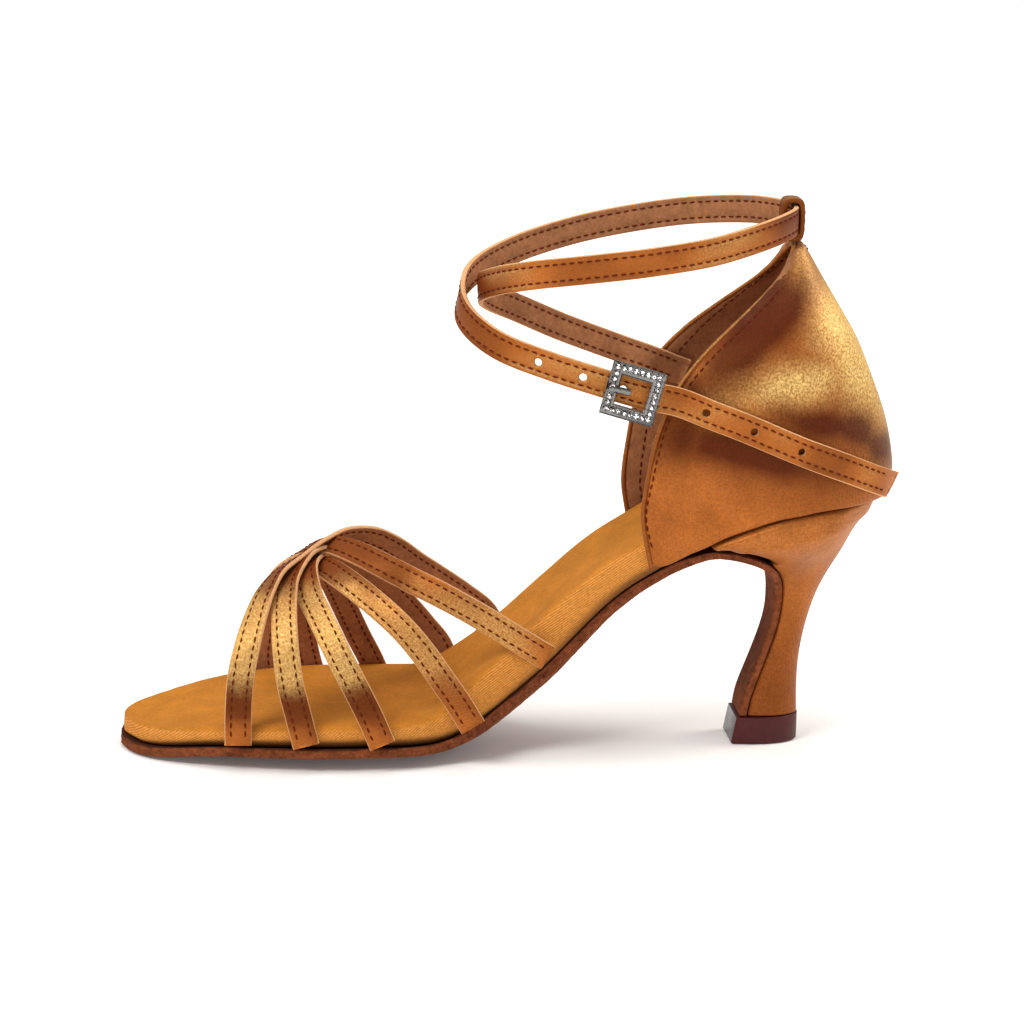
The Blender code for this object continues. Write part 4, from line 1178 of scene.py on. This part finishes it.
class SANDAL_OT_buckle(bpy.types.Operator):
    """The plated square buckle with its set stones, tongue and short strap"""

    bl_idname = "sandal.buckle"
    bl_label = "Buckle"

    def execute(self, context):
        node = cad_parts["buckle_frame"].data
        middle = sum((v.co for v in node.vertices), Vector()) / len(node.vertices)
        frames, run = strap_frames(ankle_line())
        place = min(frames, key=lambda spot: (spot.translation - middle).length).copy()
        place.translation = middle
        local = [place.inverted() @ v.co for v in node.vertices]
        half = max(max(abs(v.x), abs(v.z)) for v in local)
        face = max(v.y for v in local)
        self.plate(place, half)
        self.stones(place, half, face)
        prong = dressed("buckle_prong", "buckle_tongue", [finish("plate")])
        back = place.inverted()
        spots = [back @ vertex.co for vertex in prong.data.vertices]
        low = min(spot.z for spot in spots)
        for vertex, spot in zip(prong.data.vertices, spots):
            vertex.co = place @ Vector((spot.x * 1.5, spot.y, low + (spot.z - low) * TONGUE_SHARE))
        smoothed(prong, 1)
        strap = dressed("buckle_strap", "buckle_holder", [finish("satin_strap")])
        smoothed(strap, 2, 50)
        # Painted shade over the whole holder.
        paint(strap, "tones", lambda place, normal: (0, 0.4, 0))
        return {"FINISHED"}

    def plate(self, place, half):
        """The frame: its face sunk between two thin rims, and its edges softened."""
        piece = dressed("buckle_frame", "buckle_plate", [finish("plate")])
        back = place.inverted()
        for vertex in piece.data.vertices:
            spot = back @ vertex.co
            if max(abs(spot.x), abs(spot.z)) < half - 0.0015:
                vertex.co = place @ Vector((spot.x * FRAME_WINDOW, spot.y, spot.z * FRAME_WINDOW))
        mesh = bmesh.new()
        mesh.from_mesh(piece.data)
        out = place.to_3x3() @ Vector((0, 1, 0))
        front = [face for face in mesh.faces if face.normal.dot(out) > 0.9]
        bmesh.ops.inset_region(mesh, faces=front, thickness=0.0003, depth=-0.0003, use_even_offset=True)
        edges = [e for e in mesh.edges if len(e.link_faces) == 2 and e.calc_face_angle(0) > math.radians(30)]
        bmesh.ops.bevel(
            mesh, geom=edges, offset=0.00009, segments=2, profile=0.5, affect="EDGES", material=-1
        )
        mesh.to_mesh(piece.data)
        mesh.free()
        piece.data.shade_smooth()
        piece.data.set_sharp_from_angle(angle=math.radians(40))

    def stones(self, place, half, face):
        """Round cut stones in one row round the frame, each held by small beads."""
        size = sizes()
        count = size.stones_a_side
        middle = half - 0.00175
        stones, beads = bmesh.new(), bmesh.new()
        spots = []
        for i in range(count - 1):
            share = -1 + 2 * i / (count - 1)
            spots += [(share, -1), (1, share), (-share, 1), (-1, -share)]
        seat = face + 0.0001
        for number, (x, z) in enumerate(spots):
            spot = place @ Matrix.Translation((x * middle, seat, z * middle))
            turn = Matrix.Rotation(-math.pi / 2, 4, "X") @ Matrix.Rotation(number * 0.7, 4, "Z")
            radius = size.stone_radius
            bmesh.ops.create_cone(
                stones, cap_ends=True, segments=8, radius1=radius, radius2=radius * 0.55, depth=radius * 0.7,
                matrix=spot @ turn,
            )
            along = Vector((1, 0, 0)) if abs(z) == 1 else Vector((0, 0, 1))
            side = Vector((0, 0, 1)) if abs(z) == 1 else Vector((1, 0, 0))
            step = middle / (count - 1)
            for way in (1, -1):
                bead = spot @ Matrix.Translation(along * step + side * way * radius * 0.85)
                bmesh.ops.create_uvsphere(beads, u_segments=8, v_segments=6, radius=0.00024, matrix=bead)
        cut = settle(stones, "buckle_stones", [finish("stone")])
        cut.data.shade_flat()
        settle(beads, "buckle_beads", [finish("plate")])


class SANDAL_OT_stage(bpy.types.Operator):
    """Pale floor, soft studio light and the camera at the photograph's angle"""

    bl_idname = "sandal.stage"
    bl_label = "Stage"

    def execute(self, context):
        mesh = bmesh.new()
        bmesh.ops.create_grid(mesh, x_segments=1, y_segments=1, size=6)
        data = bpy.data.meshes.new("studio_floor")
        mesh.to_mesh(data)
        mesh.free()
        made, tree, shader = new_material("painted_floor")
        shader.inputs["Base Color"].default_value = rgba(colours().floor)
        shader.inputs["Roughness"].default_value = 0.6
        shader.inputs["Specular IOR Level"].default_value = 0.2
        shader.inputs["Emission Color"].default_value = (1, 1, 1, 1)
        source = add(tree, "TexCoord").outputs["Object"]
        away = add(tree, "VectorMath", {"operation": "LENGTH"}, input_0=source).outputs["Value"]
        glow = add(tree, "MapRange", Value=away, From_Min=0.0, From_Max=0.9, To_Min=0.04, To_Max=0.75)
        tree.links.new(glow.outputs["Result"], shader.inputs["Emission Strength"])
        data.materials.append(made)
        floor = bpy.data.objects.new("studio_floor", data)
        context.scene.collection.objects.link(floor)
        self.light("key", (-0.55, -0.60, 0.95), 0.5, 9, "#FFFDF8")
        self.light("top", (0.10, 0.10, 1.15), 0.7, 6, "#FFFFFF")
        self.light("back", (0.75, 0.15, 0.60), 0.4, 4, "#FFF9EE")
        self.light("low_fill", (0.35, -1.1, 0.25), 0.8, 1.5, "#FFFFFF")
        world = bpy.data.worlds.new("studio")
        world.use_nodes = True
        tree = world.node_tree
        sky = tree.nodes["Background"]
        seen = add(tree, "LightPath").outputs["Is Camera Ray"]
        power = add(tree, "MapRange", Value=seen, From_Min=0.0, From_Max=1.0, To_Min=0.42, To_Max=1.0)
        sky.inputs["Color"].default_value = (1, 1, 1, 1)
        tree.links.new(power.outputs["Result"], sky.inputs["Strength"])
        context.scene.world = world
        context.scene.view_settings.view_transform = "Standard"
        self.camera(context)
        return {"FINISHED"}

    def light(self, name, spot, width, power, colour):
        """A square soft light that faces the shoe."""
        data = bpy.data.lights.new(name, "AREA")
        data.shape = "SQUARE"
        data.size = width
        data.energy = power
        data.color = linear(colour)
        lamp = bpy.data.objects.new(name, data)
        bpy.context.scene.collection.objects.link(lamp)
        lamp.location = spot
        lamp.rotation_euler = (Vector((0.06, 0, 0.06)) - Vector(spot)).to_track_quat("-Z", "Y").to_euler()

    def camera(self, context):
        """One metre away, a little above the shoe and slightly round towards the toe."""
        height, turn, roll = (math.radians(angle) for angle in (11.8, 5.0, 1.4))
        ahead = Vector((math.sin(turn), math.cos(turn), 0)) * math.cos(height)
        ahead.z = -math.sin(height)
        level = Vector((math.cos(turn), -math.sin(turn), 0))
        upright = level.cross(ahead)
        right = level * math.cos(roll) + upright * math.sin(roll)
        up = upright * math.cos(roll) - level * math.sin(roll)
        data = bpy.data.cameras.new("camera")
        data.sensor_fit = "HORIZONTAL"
        data.sensor_width = 36
        data.lens = 124.66
        data.clip_start = 0.05
        view = bpy.data.objects.new("camera", data)
        context.scene.collection.objects.link(view)
        place = Matrix((right, up, -ahead)).transposed().to_4x4()
        place.translation = Vector((0.057, 0, 0.0675)) - ahead
        view.matrix_world = place
        context.scene.camera = view


class SANDAL_PT_panel(bpy.types.Panel):
    """Steps that dress the sandal"""

    bl_idname = "SANDAL_PT_panel"
    bl_label = "Ballroom dance sandal"
    bl_space_type = "VIEW_3D"
    bl_region_type = "UI"
    bl_category = "Sandal"

    def draw(self, context):
        for step in STEPS:
            self.layout.operator(step.bl_idname)
        for group in (context.scene.sandal_colours, context.scene.sandal_sizes):
            for key in group.bl_rna.properties.keys():
                if key not in ("rna_type", "name"):
                    self.layout.prop(group, key)


STEPS = (
    SANDAL_OT_insole,
    SANDAL_OT_outsole,
    SANDAL_OT_heel,
    SANDAL_OT_counter,
    SANDAL_OT_forefoot_straps,
    SANDAL_OT_ankle_strap,
    SANDAL_OT_back_loop,
    SANDAL_OT_buckle,
    SANDAL_OT_stage,
)
CLASSES = (SandalColours, SandalSizes, *STEPS, SANDAL_PT_panel)


def register():
    for kind in CLASSES:
        bpy.utils.register_class(kind)
    bpy.types.Scene.sandal_colours = PointerProperty(type=SandalColours)
    bpy.types.Scene.sandal_sizes = PointerProperty(type=SandalSizes)


def unregister():
    del bpy.types.Scene.sandal_sizes
    del bpy.types.Scene.sandal_colours
    for kind in reversed(CLASSES):
        bpy.utils.unregister_class(kind)


def main():
    register()
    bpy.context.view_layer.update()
    bpy.ops.sandal.insole()
    bpy.ops.sandal.outsole()
    bpy.ops.sandal.heel()
    bpy.ops.sandal.counter()
    bpy.ops.sandal.forefoot_straps()
    bpy.ops.sandal.ankle_strap()
    bpy.ops.sandal.back_loop()
    bpy.ops.sandal.buckle()
    bpy.ops.sandal.stage()


if __name__ == "__main__":
    main()
